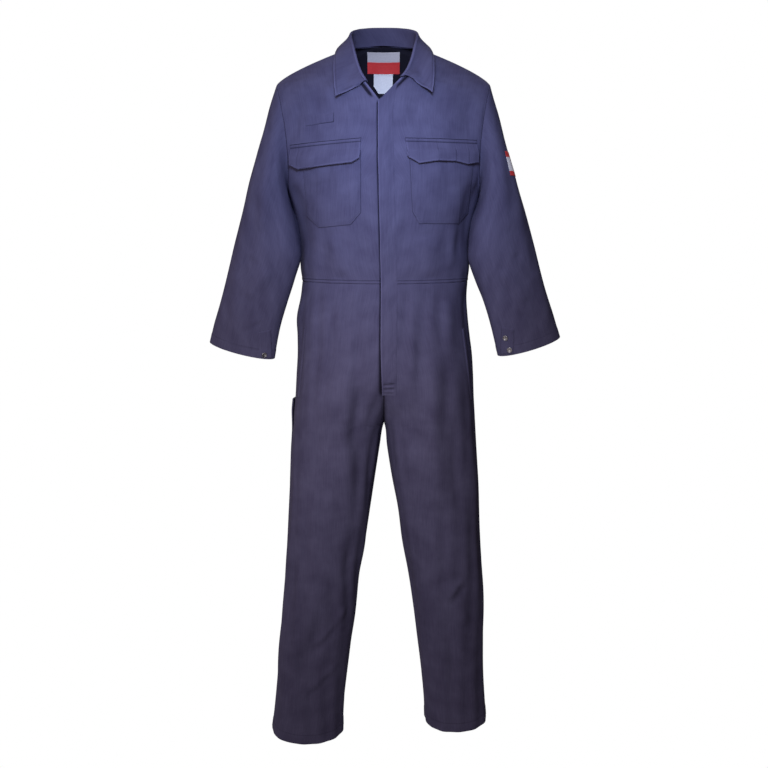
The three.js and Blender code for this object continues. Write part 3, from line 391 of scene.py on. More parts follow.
def cutSize(sheet):
    # The flat cut that shows: the longest row by the longest column, and the area between.
    points = sheet["points"]
    width, length = runs(points, 1)[:, -1].max() * mm, runs(points, 0)[-1].max() * mm
    a, b = points[1:, 1:] - points[:-1, :-1], points[1:, :-1] - points[:-1, 1:]
    area = np.linalg.norm(np.cross(a, b), axis=-1).sum() / 2 * mm * mm
    return (width, length), min(area, width * length)


def finishSheet(piece, sheet, nodes=()):
    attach(piece, "root")
    if nodes:
        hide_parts(*nodes)
    flat, area = cutSize(sheet)
    print(f"  {piece.name}: cut {flat[0]:.3f} x {flat[1]:.3f} m, {area:.4f} m2")


# Materials


def linear(hexColour):
    channels = [int(hexColour[k : k + 2], 16) / 255 for k in (1, 3, 5)]
    return [c / 12.92 if c <= 0.04045 else ((c + 0.055) / 1.055) ** 2.4 for c in channels] + [1]


def addNode(material, kind, settings=None, inputs=None, links=None):
    node = material.node_tree.nodes.new(kind)
    for name, value in (settings or {}).items():
        setattr(node, name, value)
    for name, value in (inputs or {}).items():
        node.inputs[name].default_value = value
    for name, output in (links or {}).items():
        material.node_tree.links.new(output, node.inputs[name])
    return node


def newMaterial(name):
    material = bpy.data.materials.new(name)
    material.use_nodes = True
    return material, material.node_tree.nodes["Principled BSDF"]


def setRamp(node, stops):
    ramp = node.color_ramp
    for k, (place, colour) in enumerate(stops):
        stop = ramp.elements[k] if k < 2 else ramp.elements.new(place)
        stop.position = place
        stop.color = colour


# Navy cotton twill, piece-dyed and matt: fine diagonal ribs and yarns of uneven thickness that streak along the cloth.
# The sunk colour is painted shade for stitch lines, seams and edges, the raised colour a painted highlight on ridges
# and folded edges. The real ribs are 0.7 mm apart, too fine to show here.
twill = {"cloth": "#3d3c57", "yarn": "#4b4b68", "sunk": "#1a1927", "raised": "#5a5a7e", "roughness": 0.9,
         "ribSpacing": 1.7, "yarnWidth": 2.6, "yarnLength": 55}


# The inner side is painted darker as shade, so that in the neck it shows almost black round the labels.
inner = {"cloth": "#171620", "yarn": "#1c1b26", "raised": "#232230"}


def cottonTwill(name, twill):
    material, shader = newMaterial(name)
    uv = addNode(material, "ShaderNodeTexCoord").outputs["UV"]
    ribs = addNode(material, "ShaderNodeTexWave", {"wave_type": "BANDS", "bands_direction": "DIAGONAL"},
                   {"Scale": 2 * math.pi / 20 / (twill["ribSpacing"] * mm) / math.sqrt(2), "Distortion": 1.2,
                    "Detail": 1.0}, {"Vector": uv})
    stretched = addNode(material, "ShaderNodeMapping", None,
                        {"Scale": (1 / (twill["yarnWidth"] * mm), 1 / (twill["yarnLength"] * mm), 1)}, {"Vector": uv})
    yarns = addNode(material, "ShaderNodeTexNoise", None, {"Scale": 1.0, "Detail": 3.0, "Roughness": 0.6},
                    {"Vector": stretched.outputs["Vector"]})
    cloudy = addNode(material, "ShaderNodeTexNoise", None, {"Scale": 18.0, "Detail": 4.0}, {"Vector": uv})
    tone = addNode(material, "ShaderNodeMath", {"operation": "MULTIPLY_ADD"}, {1: 0.6},
                   {0: yarns.outputs["Fac"], 2: cloudy.outputs["Fac"]})
    spread = addNode(material, "ShaderNodeMapRange", None, {"From Min": 0.55, "From Max": 1.05}, {"Value": tone.outputs["Value"]})
    base = addNode(material, "ShaderNodeMix", {"data_type": "RGBA"},
                   {"A": linear(twill["cloth"]), "B": linear(twill["yarn"])}, {"Factor": spread.outputs["Result"]})
    # The attribute read here holds painted light: below zero the colour darkens towards the sunk colour as painted
    # shade, above zero it pales towards the raised colour as painted highlight.
    shade = addNode(material, "ShaderNodeAttribute", {"attribute_name": "paintedShadeAndHighlight"}).outputs["Fac"]
    low = addNode(material, "ShaderNodeMath", {"operation": "MULTIPLY", "use_clamp": True}, {1: -0.75}, {0: shade})
    high = addNode(material, "ShaderNodeMath", {"operation": "MULTIPLY", "use_clamp": True}, {1: 0.7}, {0: shade})
    wearAndPaintedHighlight = addNode(material, "ShaderNodeMix", {"data_type": "RGBA"}, {"B": linear(twill["raised"])},
                   {"Factor": high.outputs["Value"], "A": base.outputs["Result"]})
    seams = addNode(material, "ShaderNodeMix", {"data_type": "RGBA"}, {"B": linear(twill["sunk"])},
                    {"Factor": low.outputs["Value"], "A": wearAndPaintedHighlight.outputs["Result"]})
    relief = addNode(material, "ShaderNodeMath", {"operation": "MULTIPLY_ADD"}, {1: 0.35},
                     {0: ribs.outputs["Fac"], 2: yarns.outputs["Fac"]})
    bump = addNode(material, "ShaderNodeBump", None, {"Strength": 0.35, "Distance": 0.0004}, {"Height": relief.outputs["Value"]})
    links = material.node_tree.links
    links.new(seams.outputs["Result"], shader.inputs["Base Color"])
    links.new(bump.outputs["Normal"], shader.inputs["Normal"])
    shader.inputs["Roughness"].default_value = twill["roughness"]
    shader.inputs["Specular IOR Level"].default_value = 0.06
    return material


# Polyester sewing thread: round, a little brighter and smoother than the cloth.
thread = {"colour": "#33355a", "roughness": 0.6}


def sewingThread():
    material, shader = newMaterial("polyester sewing thread")
    place = addNode(material, "ShaderNodeTexCoord").outputs["Object"]
    twist = addNode(material, "ShaderNodeTexWave", {"wave_type": "BANDS", "bands_direction": "DIAGONAL"},
                    {"Scale": 400.0, "Distortion": 0.5}, {"Vector": place})
    # The dark bands along the twist are painted shade between the plies.
    colour = addNode(material, "ShaderNodeMix", {"data_type": "RGBA"},
                     {"A": linear(thread["colour"]), "B": linear(twill["sunk"])}, {"Factor": twist.outputs["Fac"]})
    material.node_tree.links.new(colour.outputs["Result"], shader.inputs["Base Color"])
    shader.inputs["Roughness"].default_value = thread["roughness"]
    shader.inputs["Specular IOR Level"].default_value = 0.3
    return material


# Woven label tape: damask with a faint satin gleam and cross threads about 0.5 mm apart, drawn 1.4 mm to show.
def wovenTape(name, colour, darker):
    material, shader = newMaterial(name)
    uv = addNode(material, "ShaderNodeTexCoord").outputs["UV"]
    threads = addNode(material, "ShaderNodeTexWave", {"wave_type": "BANDS", "bands_direction": "Y"},
                      {"Scale": 2 * math.pi / 20 / (1.4 * mm), "Distortion": 0.8, "Detail": 2.0}, {"Vector": uv})
    cloudy = addNode(material, "ShaderNodeTexNoise", None, {"Scale": 260.0, "Detail": 3.0}, {"Vector": uv})
    fac = addNode(material, "ShaderNodeMath", {"operation": "MULTIPLY"}, None,
                  {0: threads.outputs["Fac"], 1: cloudy.outputs["Fac"]})
    tint = addNode(material, "ShaderNodeMix", {"data_type": "RGBA"}, {"A": linear(colour), "B": linear(darker)},
                   {"Factor": fac.outputs["Value"]})
    bump = addNode(material, "ShaderNodeBump", None, {"Strength": 0.3, "Distance": 0.0003}, {"Height": threads.outputs["Fac"]})
    material.node_tree.links.new(tint.outputs["Result"], shader.inputs["Base Color"])
    material.node_tree.links.new(bump.outputs["Normal"], shader.inputs["Normal"])
    shader.inputs["Roughness"].default_value = 0.55
    return material


# Blackened brass of the press studs, tumbled to a dark satin with bright rubbed rims.
def blackenedBrass():
    material, shader = newMaterial("blackened brass")
    place = addNode(material, "ShaderNodeTexCoord").outputs["Object"]
    rubbed = addNode(material, "ShaderNodeTexNoise", None, {"Scale": 500.0, "Detail": 4.0}, {"Vector": place})
    tone = addNode(material, "ShaderNodeValToRGB", None, None, {"Fac": rubbed.outputs["Fac"]})
    setRamp(tone, [(0.35, linear("#62646c")), (0.7, linear("#b4b6be"))])
    rough = addNode(material, "ShaderNodeMapRange", None, {"To Min": 0.25, "To Max": 0.5}, {"Value": rubbed.outputs["Fac"]})
    material.node_tree.links.new(tone.outputs["Color"], shader.inputs["Base Color"])
    material.node_tree.links.new(rough.outputs["Result"], shader.inputs["Roughness"])
    shader.inputs["Metallic"].default_value = 1.0
    return material


cloth = cottonTwill("cotton twill", twill)
innerSidePaintedDark = cottonTwill("cotton twill inner side painted dark as shade", {**twill, **inner})
threadFinish = sewingThread()
whiteTape = wovenTape("white woven tape", "#e4e4ea", "#a9aab8")
greyTape = wovenTape("pale grey woven tape", "#c3bfc6", "#8d8894")
redTape = wovenTape("red woven tape", "#d2383a", "#96242a")
studMetal = blackenedBrass()
print("materials ready")


# Camera, light and floor

view = {"eye": (0, -3.2, -0.408), "aim": (0, 0, -0.778), "lens": 62.92}
cameraData = bpy.data.cameras.new("camera")
cameraData.lens = view["lens"]
cameraData.sensor_width = 36
camera = bpy.data.objects.new("camera", cameraData)
camera.location = view["eye"]
camera.rotation_euler = (Vector(view["aim"]) - Vector(view["eye"])).to_track_quat("-Z", "Y").to_euler()
scene.collection.objects.link(camera)
scene.camera = camera
scene.view_settings.view_transform = "Standard"


def softLight(name, place, aim, size, power, colour, spread):
    data = bpy.data.lights.new(name, "AREA")
    data.shape = "RECTANGLE"
    data.size, data.size_y = size
    data.energy = power
    data.color = linear(colour)[:3]
    data.spread = math.radians(spread)
    lamp = bpy.data.objects.new(name, data)
    lamp.location = place
    lamp.rotation_euler = (Vector(aim) - Vector(place)).to_track_quat("-Z", "Y").to_euler()
    scene.collection.objects.link(lamp)


# Two gridded softboxes in front, the brighter on the chest and the other from the waist down; a plain one behind.
softLight("chest softbox", (-0.02, -1.3, 0.15), (0.0, -0.14, -0.2), (0.34, 0.34), 1.85, "#d3e2ff", 44)
softLight("lower softbox", (-0.3, -1.35, -0.5), (-0.06, -0.14, -0.82), (0.34, 0.5), 1.38, "#fff6f2", 56)
softLight("rear softbox", (0.3, 2.4, 0.9), (0, 0, -0.7), (1.6, 1.2), 22, "#f4f7ff", 150)

# The room: white where the camera looks past the suit; its light is weaker, most of all from the sides and below.
room = {"backdrop": "#ffffff", "light": "#ffebe2", "strength": 0.64, "sideStrength": 0.08, "brighterSide": 0.36,
        "below": 0.4, "above": 1.5}
world = bpy.data.worlds.new("studio")
world.use_nodes = True
scene.world = world
around = addNode(world, "ShaderNodeSeparateXYZ", None, None,
                 {"Vector": addNode(world, "ShaderNodeTexCoord").outputs["Generated"]})
offMiddle = addNode(world, "ShaderNodeMath", {"operation": "ADD"}, {1: room["brighterSide"]}, {0: around.outputs["X"]})
sideways = addNode(world, "ShaderNodeMath", {"operation": "ABSOLUTE"}, None, {0: offMiddle.outputs["Value"]})
level = addNode(world, "ShaderNodeMapRange", None,
                {"From Min": 0.15, "From Max": 0.95, "To Min": room["strength"], "To Max": room["sideStrength"]},
                {"Value": sideways.outputs["Value"]})
height = addNode(world, "ShaderNodeMapRange", None,
                 {"From Min": -1.0, "From Max": 1.0, "To Min": room["below"], "To Max": room["above"]},
                 {"Value": around.outputs["Z"]})
strength = addNode(world, "ShaderNodeMath", {"operation": "MULTIPLY"}, None,
                   {0: level.outputs["Result"], 1: height.outputs["Result"]})
dim = addNode(world, "ShaderNodeBackground", None, {"Color": linear(room["light"])}, {"Strength": strength.outputs["Value"]})
backdrop = world.node_tree.nodes["Background"]
backdrop.inputs["Color"].default_value = linear(room["backdrop"])
backdrop.inputs["Strength"].default_value = 1.0
seen = addNode(world, "ShaderNodeMixShader", None, None,
               {0: addNode(world, "ShaderNodeLightPath").outputs["Is Camera Ray"], 1: dim.outputs["Background"],
                2: backdrop.outputs["Background"]})
world.node_tree.links.new(seen.outputs["Shader"], world.node_tree.nodes["World Output"].inputs["Surface"])

floorZ = -2.1
bm = bmesh.new()
bmesh.ops.create_circle(bm, cap_ends=True, segments=96, radius=0.7, matrix=Matrix.Translation((0, 0, floorZ)))
floorMesh = bpy.data.meshes.new("floor")
bm.to_mesh(floorMesh)
bm.free()
floor = bpy.data.objects.new("floor", floorMesh)
scene.collection.objects.link(floor)
paper, paperShader = newMaterial("white background paper")
grain = addNode(paper, "ShaderNodeTexNoise", None, {"Scale": 60.0},
                {"Vector": addNode(paper, "ShaderNodeTexCoord").outputs["Object"]})
paperTone = addNode(paper, "ShaderNodeMix", {"data_type": "RGBA"},
                    {"A": linear("#fdfdfd"), "B": linear("#fafafa")}, {"Factor": grain.outputs["Fac"]})
paper.node_tree.links.new(paperTone.outputs["Result"], paperShader.inputs["Base Color"])
paperShader.inputs["Roughness"].default_value = 0.9
floorMesh.materials.append(paper)
print("camera, light and floor ready")


# Folds, in rows of face, x1, z1, x2, z2, bow, height, width. The tall ones are those of the solids.

bodiceFolds = [
    (front, -120, -420, -95, -520, 0, 5, 22), (front, 95, -420, 110, -525, 0, 5, 24),
    (front, -205, -300, -165, -480, 0, -5, 18), (front, 205, -300, 172, -480, 0, -5, 18),
    (front, -190, -120, -205, -190, 0, -4, 16), (front, 190, -120, 203, -190, 0, -4, 16),
    (front, 144, -215, 140, -365, 4, -2.2, 14), (front, 112, -240, 116, -380, 0, 1.6, 13),
    (front, -162, -262, -154, -345, 3, -2.6, 12), (front, -192, -92, -104, -150, -6, -2.4, 15),
    (front, 78, -92, 44, -190, 5, -1.8, 14), (front, 52, -395, 33, -526, -5, -2.4, 11),
    (front, 70, -380, 60, -520, 3, 1.8, 13), (front, 34, -365, 22, -436, 3, 2.0, 6), (front, 42, -435, 18, -515, -4, -2.0, 7),
    (front, 20, -300, 30, -360, 0, -1.6, 6), (front, 60, -300, 36, -420, 4, -1.8, 8), (front, -104, -216, -98, -330, 0, 1.8, 12), (front, -60, -420, -44, -528, 3, -1.8, 13),
    (front, -76, -334, -98, -364, 0, -1.2, 5), (front, 168, -395, 150, -505, 0, 2.4, 11),
    (back, -70, -300, -60, -520, 0, 7, 26), (back, 75, -280, 62, -520, 0, 7, 26),
    (back, -180, -250, -150, -470, 0, -6, 22), (back, 180, -250, 152, -470, 0, -6, 22),
    (back, -130, -380, -112, -528, 4, -3, 14), (back, 132, -370, 116, -528, -4, -3, 14),
    (back, -150, -90, -60, -140, 8, -2, 16), (back, 150, -90, 60, -140, -8, -2, 16),
]
trouserFolds = [
    (front, -95, -700, -95, -1050, 0, 8, 20), (front, 110, -680, 118, -1080, 0, 8, 22),
    (front, -45, -760, -80, -930, 0, -6, 16), (front, 45, -760, 78, -930, 0, -6, 16),
    (front, -140, -1230, -215, -1440, 0, 6, 18), (front, -150, -1330, -225, -1520, 0, -5, 18),
    (front, 150, -1240, 200, -1360, 0, 6, 18), (front, 135, -1330, 190, -1500, 0, -5, 18),
    (front, -92, -1296, -168, -1398, 10, 5.5, 8), (front, -104, -1318, -180, -1420, 10, -5.0, 9),
    (front, -114, -1436, -186, -1506, 7, 4.8, 8), (front, -126, -1456, -192, -1524, 7, -4.4, 9),
    (front, 192, -1236, 150, -1290, -3, 3.6, 7), (front, 202, -1252, 158, -1308, -3, -3.2, 8),
    (front, -158, -800, -170, -1060, 5, -3.4, 14), (front, -190, -880, -196, -1180, 0, 2.4, 12),
    (front, 166, -820, 182, -1100, -4, -3.6, 15), (front, 204, -780, 216, -1100, 3, 2.8, 9),
    (front, 72, -900, 92, -1120, 0, 2.4, 12), (front, -124, -560, -114, -760, 4, -2.2, 15),
    (front, 48, -548, 38, -700, 4, -2.6, 11), (front, 30, -560, 14, -650, 4, 2.2, 7), (front, 24, -600, 8, -690, 2, -2.0, 6), (front, 62, -560, 70, -760, -3, 2.2, 12),
    (front, -62, -545, -48, -640, 0, 1.8, 12), (front, 150, -560, 140, -720, 3, 2.0, 16),
    (front, -60, -1100, -110, -1260, 6, -2.6, 14), (front, 84, -1120, 110, -1290, -5, -2.4, 14),
    (front, -190, -1120, -236, -1300, 4, -2.2, 14), (front, 120, -1480, 128, -1600, 0, 2.2, 12),
    (back, -105, -800, -130, -1150, 0, 8, 24), (back, 105, -800, 130, -1150, 0, 8, 24),
    (back, -120, -1250, -200, -1420, 0, 7, 20), (back, 120, -1250, 190, -1420, 0, 7, 20),
    (back, -40, -760, -110, -840, -8, -4, 14), (back, 40, -760, 110, -840, 8, -4, 14),
    (back, -90, -1110, -180, -1170, -8, 3, 10), (back, 90, -1110, 180, -1170, 8, 3, 10),
    (back, -100, -1140, -190, -1210, -8, -3, 11), (back, 100, -1140, 190, -1210, 8, -3, 11),
]
sleeveFolds = [
    (front, -262, -260, -285, -420, 0, 5, 16), (front, -300, -470, -345, -520, 0, -5, 14),
    (front, -262, -500, -320, -570, 0, 5, 14), (front, 262, -260, 288, -420, 0, 5, 16),
    (front, 300, -460, 350, -520, 0, -5, 14), (front, 268, -500, 330, -580, 0, 5, 14),
    (front, -290, -330, -318, -470, 8, -3.2, 15), (front, -252, -215, -268, -330, 3, -2.4, 12),
    (front, -278, -622, -326, -650, -7, -2.6, 6), (front, -276, -612, -322, -640, -7, 1.8, 6),
    (front, 288, -330, 318, -480, -8, -3.2, 15), (front, 254, -220, 268, -330, -3, -2.4, 12),
    (front, 300, -600, 372, -640, 7, -2.4, 8), (front, -340, -560, -352, -660, 0, 2.2, 12),
    (back, -270, -300, -320, -500, 0, 6, 18), (back, 270, -300, 320, -500, 0, 6, 18),
    (back, -240, -430, -330, -480, -8, -4, 11), (back, 240, -430, 330, -480, 8, -4, 11),
    (back, -250, -470, -345, -530, -8, 3, 10), (back, 250, -470, 345, -530, 8, 3, 10),
]


def foldFade(u):
    return ease(u / 0.25) * ease((1 - u) / 0.2)


# Panels

# The cloth sinks in just beside the placket's free edge, from z down, and is painted dark there as shade.
placketEdge = columns("z x", [(-122, -12.5), (-254, -12.4), (-343, -10.2), (-433, -8), (-533, -5.7), (-661, -7), (-791, -4)])
placketGroove = {"beside": 2.0, "depth": 2.6, "width": 2.1, "wider": 3.0, "widensFrom": -640, "ends": -800}


def sinkBesidePlacket(sheet, points):
    x = points[..., 0] - read(placketEdge, "z", "x", points[..., 2]) + placketGroove["beside"]
    within = ease((points[..., 2] - placketGroove["ends"]) / 20) * ease((-118 - points[..., 2]) / 6)
    wide = placketGroove["width"] + placketGroove["wider"] * ease((placketGroove["widensFrom"] - points[..., 2]) / 140)
    sunk = np.exp(-((x / wide) ** 2)) * within
    lift(sheet, -placketGroove["depth"] * sunk)
    # Painted shade in the groove.
    sheet["shade"] = sheet["shade"] - 1.5 * sunk


step = 5


def bodicePanel(side, face):
    us = spaced(230, step, seamMarks)
    vs = np.unique(np.r_[spaced(470, step, seamMarks), underarmV, neckV[face]])
    u, v = np.meshgrid(us, vs)
    points = bodicePoint(side, face, u, v)
    softened = points
    for _ in range(50):
        softened = np.concatenate([softened[:1], (softened[:-2] + 2 * softened[1:-1] + softened[2:]) / 4, softened[-1:]])
    nearUnderarm = np.exp(-(((v - underarmV) / 0.12) ** 2)) * ease(u / 0.08) * ease((0.6 - u) / 0.3)
    points = mix(points, softened, nearUnderarm[..., None])
    sheet = sheetOf(points, points * (1, 1, 0) + (0, 0, 60))
    lift(sheet, foldHeight(bodiceFolds, points, face) * foldFade(u) * ease(v / 0.06))
    openEdge = ease((v - neckV[face] - 0.01) / 0.03) if face == front else 0 * v
    fromEdge = sheet["edges"]["end"]
    sunk = np.exp(-(((fromEdge - 5.5) / 0.9) ** 2)) * openEdge
    lift(sheet, 1.2 * openEdge * (1 - ease((fromEdge - 5.5) / 2)) - 0.4 * sunk)
    # The folded edge stands up; a pale painted highlight runs along it, with a painted dark line at its very edge, and
    # the cloth beside it sinks and is painted dark as the collar's shadow.
    behind = np.exp(-(((fromEdge - 10.5) / 3.2) ** 2))
    lift(sheet, -1.6 * behind * openEdge)
    nearCollar = 1 if side == right else ease((v - neckV[front] - 0.03) / 0.08)
    rim = 1.1 * np.exp(-(((fromEdge - 2.8) / 2.2) ** 2)) - 1.4 * np.exp(-((fromEdge / 0.8) ** 2))
    sheet["shade"] = sheet["shade"] + openEdge * (rim - 2.6 * behind * nearCollar)
    # Painted light: the front is a little paler at its side under the sleeve, where the sleeve shades it.
    sheet["shade"] = sheet["shade"] + 0.9 * np.exp(-(((u - 0.07) / 0.11) ** 2)) * np.exp(-(((v - 0.42) / 0.17) ** 2))
    lift(sheet, slack(points, 95, 1.3, 3) * ease(u / 0.1) * ease(v / 0.08) * ease((1 - v) / 0.1) * ease((1 - u) / 0.1))
    lift(sheet, slack(points * (1, 1, 0.35), 42, 0.9, 13) * ease(u / 0.1) * ease((1 - u) / 0.1) * ease((1 - v) / 0.3))
    return sheet, u, v


def trouserPanel(side, face):
    us = spaced(290, step, seamMarks)
    zs = mix(waist["side"], hemZ, spaced(1084, step, seamMarks, fineEnd=False))
    hemRows = hemZ + np.array(hemMarks)
    zs = np.sort(np.r_[zs[(zs > hemRows.max() + 1)], hemRows])[::-1]
    u, z = np.meshgrid(us, zs)
    points = trouserPoint(side, face, u, z)
    middle = stacked(side * np.where(z > crotchZ, 90, 150), 0, z)
    sheet = sheetOf(points, points - middle)
    nearInseam = ease((1 - u) / np.where(z < crotchZ, 0.07, 0.2))
    lift(sheet, foldHeight(trouserFolds, points, face) * ease(u / 0.25) * nearInseam * ease((waist["side"] - z) / 60))
    keep = ease(u / 0.08) * ease((1 - u) / 0.08) * ease((waist["side"] - z) / 60)
    lift(sheet, slack(points, 120, 1.5, 5) * keep)
    lift(sheet, slack(points * (1, 1, 0.12), 42, 1.5 if face == front else 0.8, 11) * keep)
    return sheet, u, z


def sleevePanel(side):
    angles = math.pi * (1 - 2 * spaced(430, step, seamMarks))
    alongs = 10 * spaced(640, step, fineStart=False, fine=[d * 1.0 for d in hemMarks])
    angle, along = np.meshgrid(angles, alongs)
    points = sleevePoint(side, angle, along)
    middle = (sleevePoint(side, 0 * angle, along) + sleevePoint(side, 0 * angle + math.pi, along)) / 2
    sheet = sheetOf(points, points - middle)
    face = np.where(np.sin(angle) > 0, front, back)
    fade = np.abs(np.sin(angle)) * ease(along / 2) * ease((10 - along) / 1.5)
    height = np.where(face == front, foldHeight(sleeveFolds, points, front), foldHeight(sleeveFolds, points, back))
    lift(sheet, height * fade)
    lift(sheet, slack(points, 90, 1.3, 8) * ease(along / 1.5) * ease((10 - along) / 1.0) * np.abs(np.sin(angle)))
    lift(sheet, slack(points * (1, 1, 0.2), 50, 0.9, 15) * ease(along / 1.5) * ease((10 - along) / 1.0))
    inner = ease((-np.cos(angle) - 0.2) / 0.7) * ease((along - 0.6) / 1.0) * ease((6.6 - along) / 1.2)
    lift(sheet, 3.4 * inner)
    return sheet, angle, along


bases = {}
for side in (right, left):
    name = sideNames[side]
    for face, label in ((front, "front"), (back, "back")):
        sheet, u, v = bodicePanel(side, face)
        bases[f"{label}_{name}"] = sheet
        sheet, u, v = trouserPanel(side, face)
        bases[f"leg_{label}_{name}"] = sheet
    bases[f"sleeve_{name}"], angle, along = sleevePanel(side)
print("cloth grids ready")

for side in (right, left):
    name = sideNames[side]
    for key in (f"front_{name}", f"leg_front_{name}"):
        sinkBesidePlacket(bases[key], bases[key]["points"])
    for key in (f"front_{name}", f"back_{name}"):
        sheet = bases[key]
        felledSeam(sheet, "bottom")
        seamDip(sheet, "start", 0.4)
        if key.startswith("front"):
            seamDip(sheet, "top", 0.4)
        else:
            felledSeam(sheet, "top")
    for key in (f"leg_front_{name}", f"leg_back_{name}"):
        sheet = bases[key]
        sheet["edges"]["bottom"], sheet["edges"]["top"] = sheet["edges"]["top"], sheet["edges"]["bottom"]
        seamDip(sheet, "top", 0.5, darker=0.15)
        turnedHem(sheet, "bottom", 22)
        if "back" in key:
            felledSeam(sheet, "start")
        else:
            seamDip(sheet, "start")
        # Painted shade along the centre seam and inseam, and on the fronts a wider painted shadow round the crotch.
        sheet["shade"] = sheet["shade"] - (1 - ease(sheet["edges"]["end"] / 2.5))
        if "front" in key:
            atCrotch = np.exp(-(((sheet["points"][..., 2] - crotchZ - 30) / 75) ** 2))
            sheet["shade"] = sheet["shade"] - 0.8 * atCrotch * np.exp(-((sheet["edges"]["end"] / 9) ** 2))
    sheet = bases[f"sleeve_{name}"]
    turnedHem(sheet, "top", 22)
    seamDip(sheet, "bottom", 0.4)

pieces = {}
for key, sheet in bases.items():
    pieces[key] = buildSheet("cloth_" + key, sheet, cloth, 1.5, welded=key.startswith("sleeve"))
    # The inside faces take the darker twill, painted as shade.
    pieces[key].data.materials.append(innerSidePaintedDark)
    pieces[key].modifiers["cloth thickness"].material_offset = 1
    nodes = () if key == "back_left" else ("back",) if key == "back_right" else (key,)
    finishSheet(pieces[key], sheet, nodes=nodes)
print("panels ready")

# What lies on the panels


def treeOf(*parts):
    places, faces = [], []
    for part in parts:
        start = len(places)
        places += [vert.co[:] for vert in part.data.vertices]
        faces += [[start + k for k in face.vertices] for face in part.data.polygons]
    return BVHTree.FromPolygons(places, faces)


def averaged(values, passes):
    for _ in range(passes):
        for axis in (0, 1):
            wide = np.concatenate([np.take(values, [0], axis), values, np.take(values, [-1], axis)], axis)
            n = values.shape[axis]
            values = (np.take(wide, range(n), axis) + 2 * values + np.take(wide, range(2, n + 2), axis)) / 4
    return values


fromFront = {"origin": (0, -400, 0), "across": (1, 0, 0), "up": (0, 0, 1), "way": (0, 1, 0)}


def layOn(tree, a, b, seen=fromFront, passes=0):
    # Drops places of a flat outline onto the cloth, seen along one direction.
    origin, across, up, way = (np.array(seen[name], float) for name in ("origin", "across", "up", "way"))
    starts = origin + a[..., None] * across + b[..., None] * up
    depth = np.zeros(a.shape)
    for place in np.ndindex(a.shape):
        start = Vector(starts[place] * mm)
        hit = tree.ray_cast(start, Vector(way))[0] or tree.find_nearest(start + Vector(way) * 0.28)[0]
        depth[place] = (hit - start).dot(Vector(way)) / mm
    if passes:
        depth = averaged(depth, passes)
    return starts + depth[..., None] * way


def shares(line):
    length = np.r_[0, np.cumsum(np.linalg.norm(np.diff(line, axis=0), axis=1))]
    return length / length[-1]


def alongLine(line, t):
    line = np.array(line, float)
    return np.stack([np.interp(t, shares(line), line[:, k]) for k in range(line.shape[1])], -1)


def insetOutline(outline, distance):
    # The corners of an outline moved in, so that its edges run beside the first ones.
    outline = np.array(outline, float)
    way = unit(np.roll(outline, -1, 0) - outline)
    area = (outline[:, 0] * np.roll(outline[:, 1], -1) - outline[:, 1] * np.roll(outline[:, 0], -1)).sum()
    inward = np.stack([-way[:, 1], way[:, 0]], -1) * np.sign(area)
    before = np.roll(inward, 1, 0)
    corner = (inward + before) / (1 + (inward * before).sum(-1, keepdims=True))
    return outline + corner * distance


def edgeDistance(a, b, outline):
    # Distance in the flat to the nearest edge of an outline.
    outline = np.array(outline, float)
    best = np.full(a.shape, 1e9)
    for start, end in zip(outline, np.roll(outline, -1, 0)):
        span = end - start
        t = np.clip(((a - start[0]) * span[0] + (b - start[1]) * span[1]) / (span @ span), 0, 1)
        best = np.minimum(best, np.hypot(a - start[0] - t * span[0], b - start[1] - t * span[1]))
    return best


def patchSheet(tree, top, bottom, height, lines=(), spacing=2.0, passes=3, seen=fromFront, rimShade=0.3,
               rimDark=0.9, rim=(0, 0.5, 1.1, 2, 3), topRim=None):
    # A sheet between two lines of a flat outline, laid on the cloth and lifted by a height.
    outline = list(top) + list(bottom)[::-1]
    width = max(np.ptp(np.array(top, float)[:, 0]), np.ptp(np.array(bottom, float)[:, 0]))
    depth = np.ptp(np.array(outline, float)[:, 1])
    t = np.unique(np.r_[spaced(width, spacing, rim), shares(np.array(top, float)), shares(np.array(bottom, float))])
    s = np.unique(np.r_[spaced(depth, spacing, topRim or rim, fineEnd=False), spaced(depth, spacing, rim, fineStart=False)])
    flat = alongLine(top, t)[None] * (1 - s)[:, None, None] + alongLine(bottom, t)[None] * s[:, None, None]
    a, b = flat[..., 0], flat[..., 1]
    points = layOn(tree, a, b, seen, passes)
    sheet = sheetOf(points, -np.array(seen["way"], float))
    edge = edgeDistance(a, b, outline)
    lift(sheet, height(a, b, edge))
    sheet["normals"] = normalsOf(sheet["points"], -np.array(seen["way"], float))
    # Painted shade in the stitch grooves. Near the outline, rimShade paints a pale highlight about 2 mm in and rimDark
    # a line of painted shade right at the edge; a negative rimDark paints that line pale.
    for line in lines:
        sunk = np.exp(-(((edge - line) / 0.9) ** 2))
        lift(sheet, -0.3 * sunk)
        sheet["shade"] = sheet["shade"] - 0.3 * sunk
    sheet["shade"] = sheet["shade"] + rimShade * np.exp(-(((edge - 2) / 1.3) ** 2)) - rimDark * np.exp(-((edge / 0.9) ** 2))
    return sheet


def fullIn(a, b, outline):
    outline = np.array(outline, float)
    middle, half = (outline.max(0) + outline.min(0)) / 2, np.ptp(outline, axis=0) / 2
    return ease(1 - ((a - middle[0]) / half[0]) ** 2) * ease(1 - ((b - middle[1]) / half[1]) ** 2)


# Placket: the wearer's left front laps over the right one; its free edge stands a little proud.
placket = {
    "leftLine": [(-12.5, -122), (-12.4, -254), (-10.2, -343), (-8, -433), (-5.7, -533), (-7, -661), (-4, -791)],
    "rightLine": [(30, -78), (20, -142), (25, -343), (31, -533), (29, -767), (28, -790)],
    "thickness": 1.7, "edgeLift": 1.6, "endLines": ((31, 0.8), (25, -0.4), (19, 0.6), (13, -0.4), (7, 0.5)),
}
fronts = treeOf(*(pieces[key] for key in ("front_right", "front_left", "leg_front_right", "leg_front_left")))


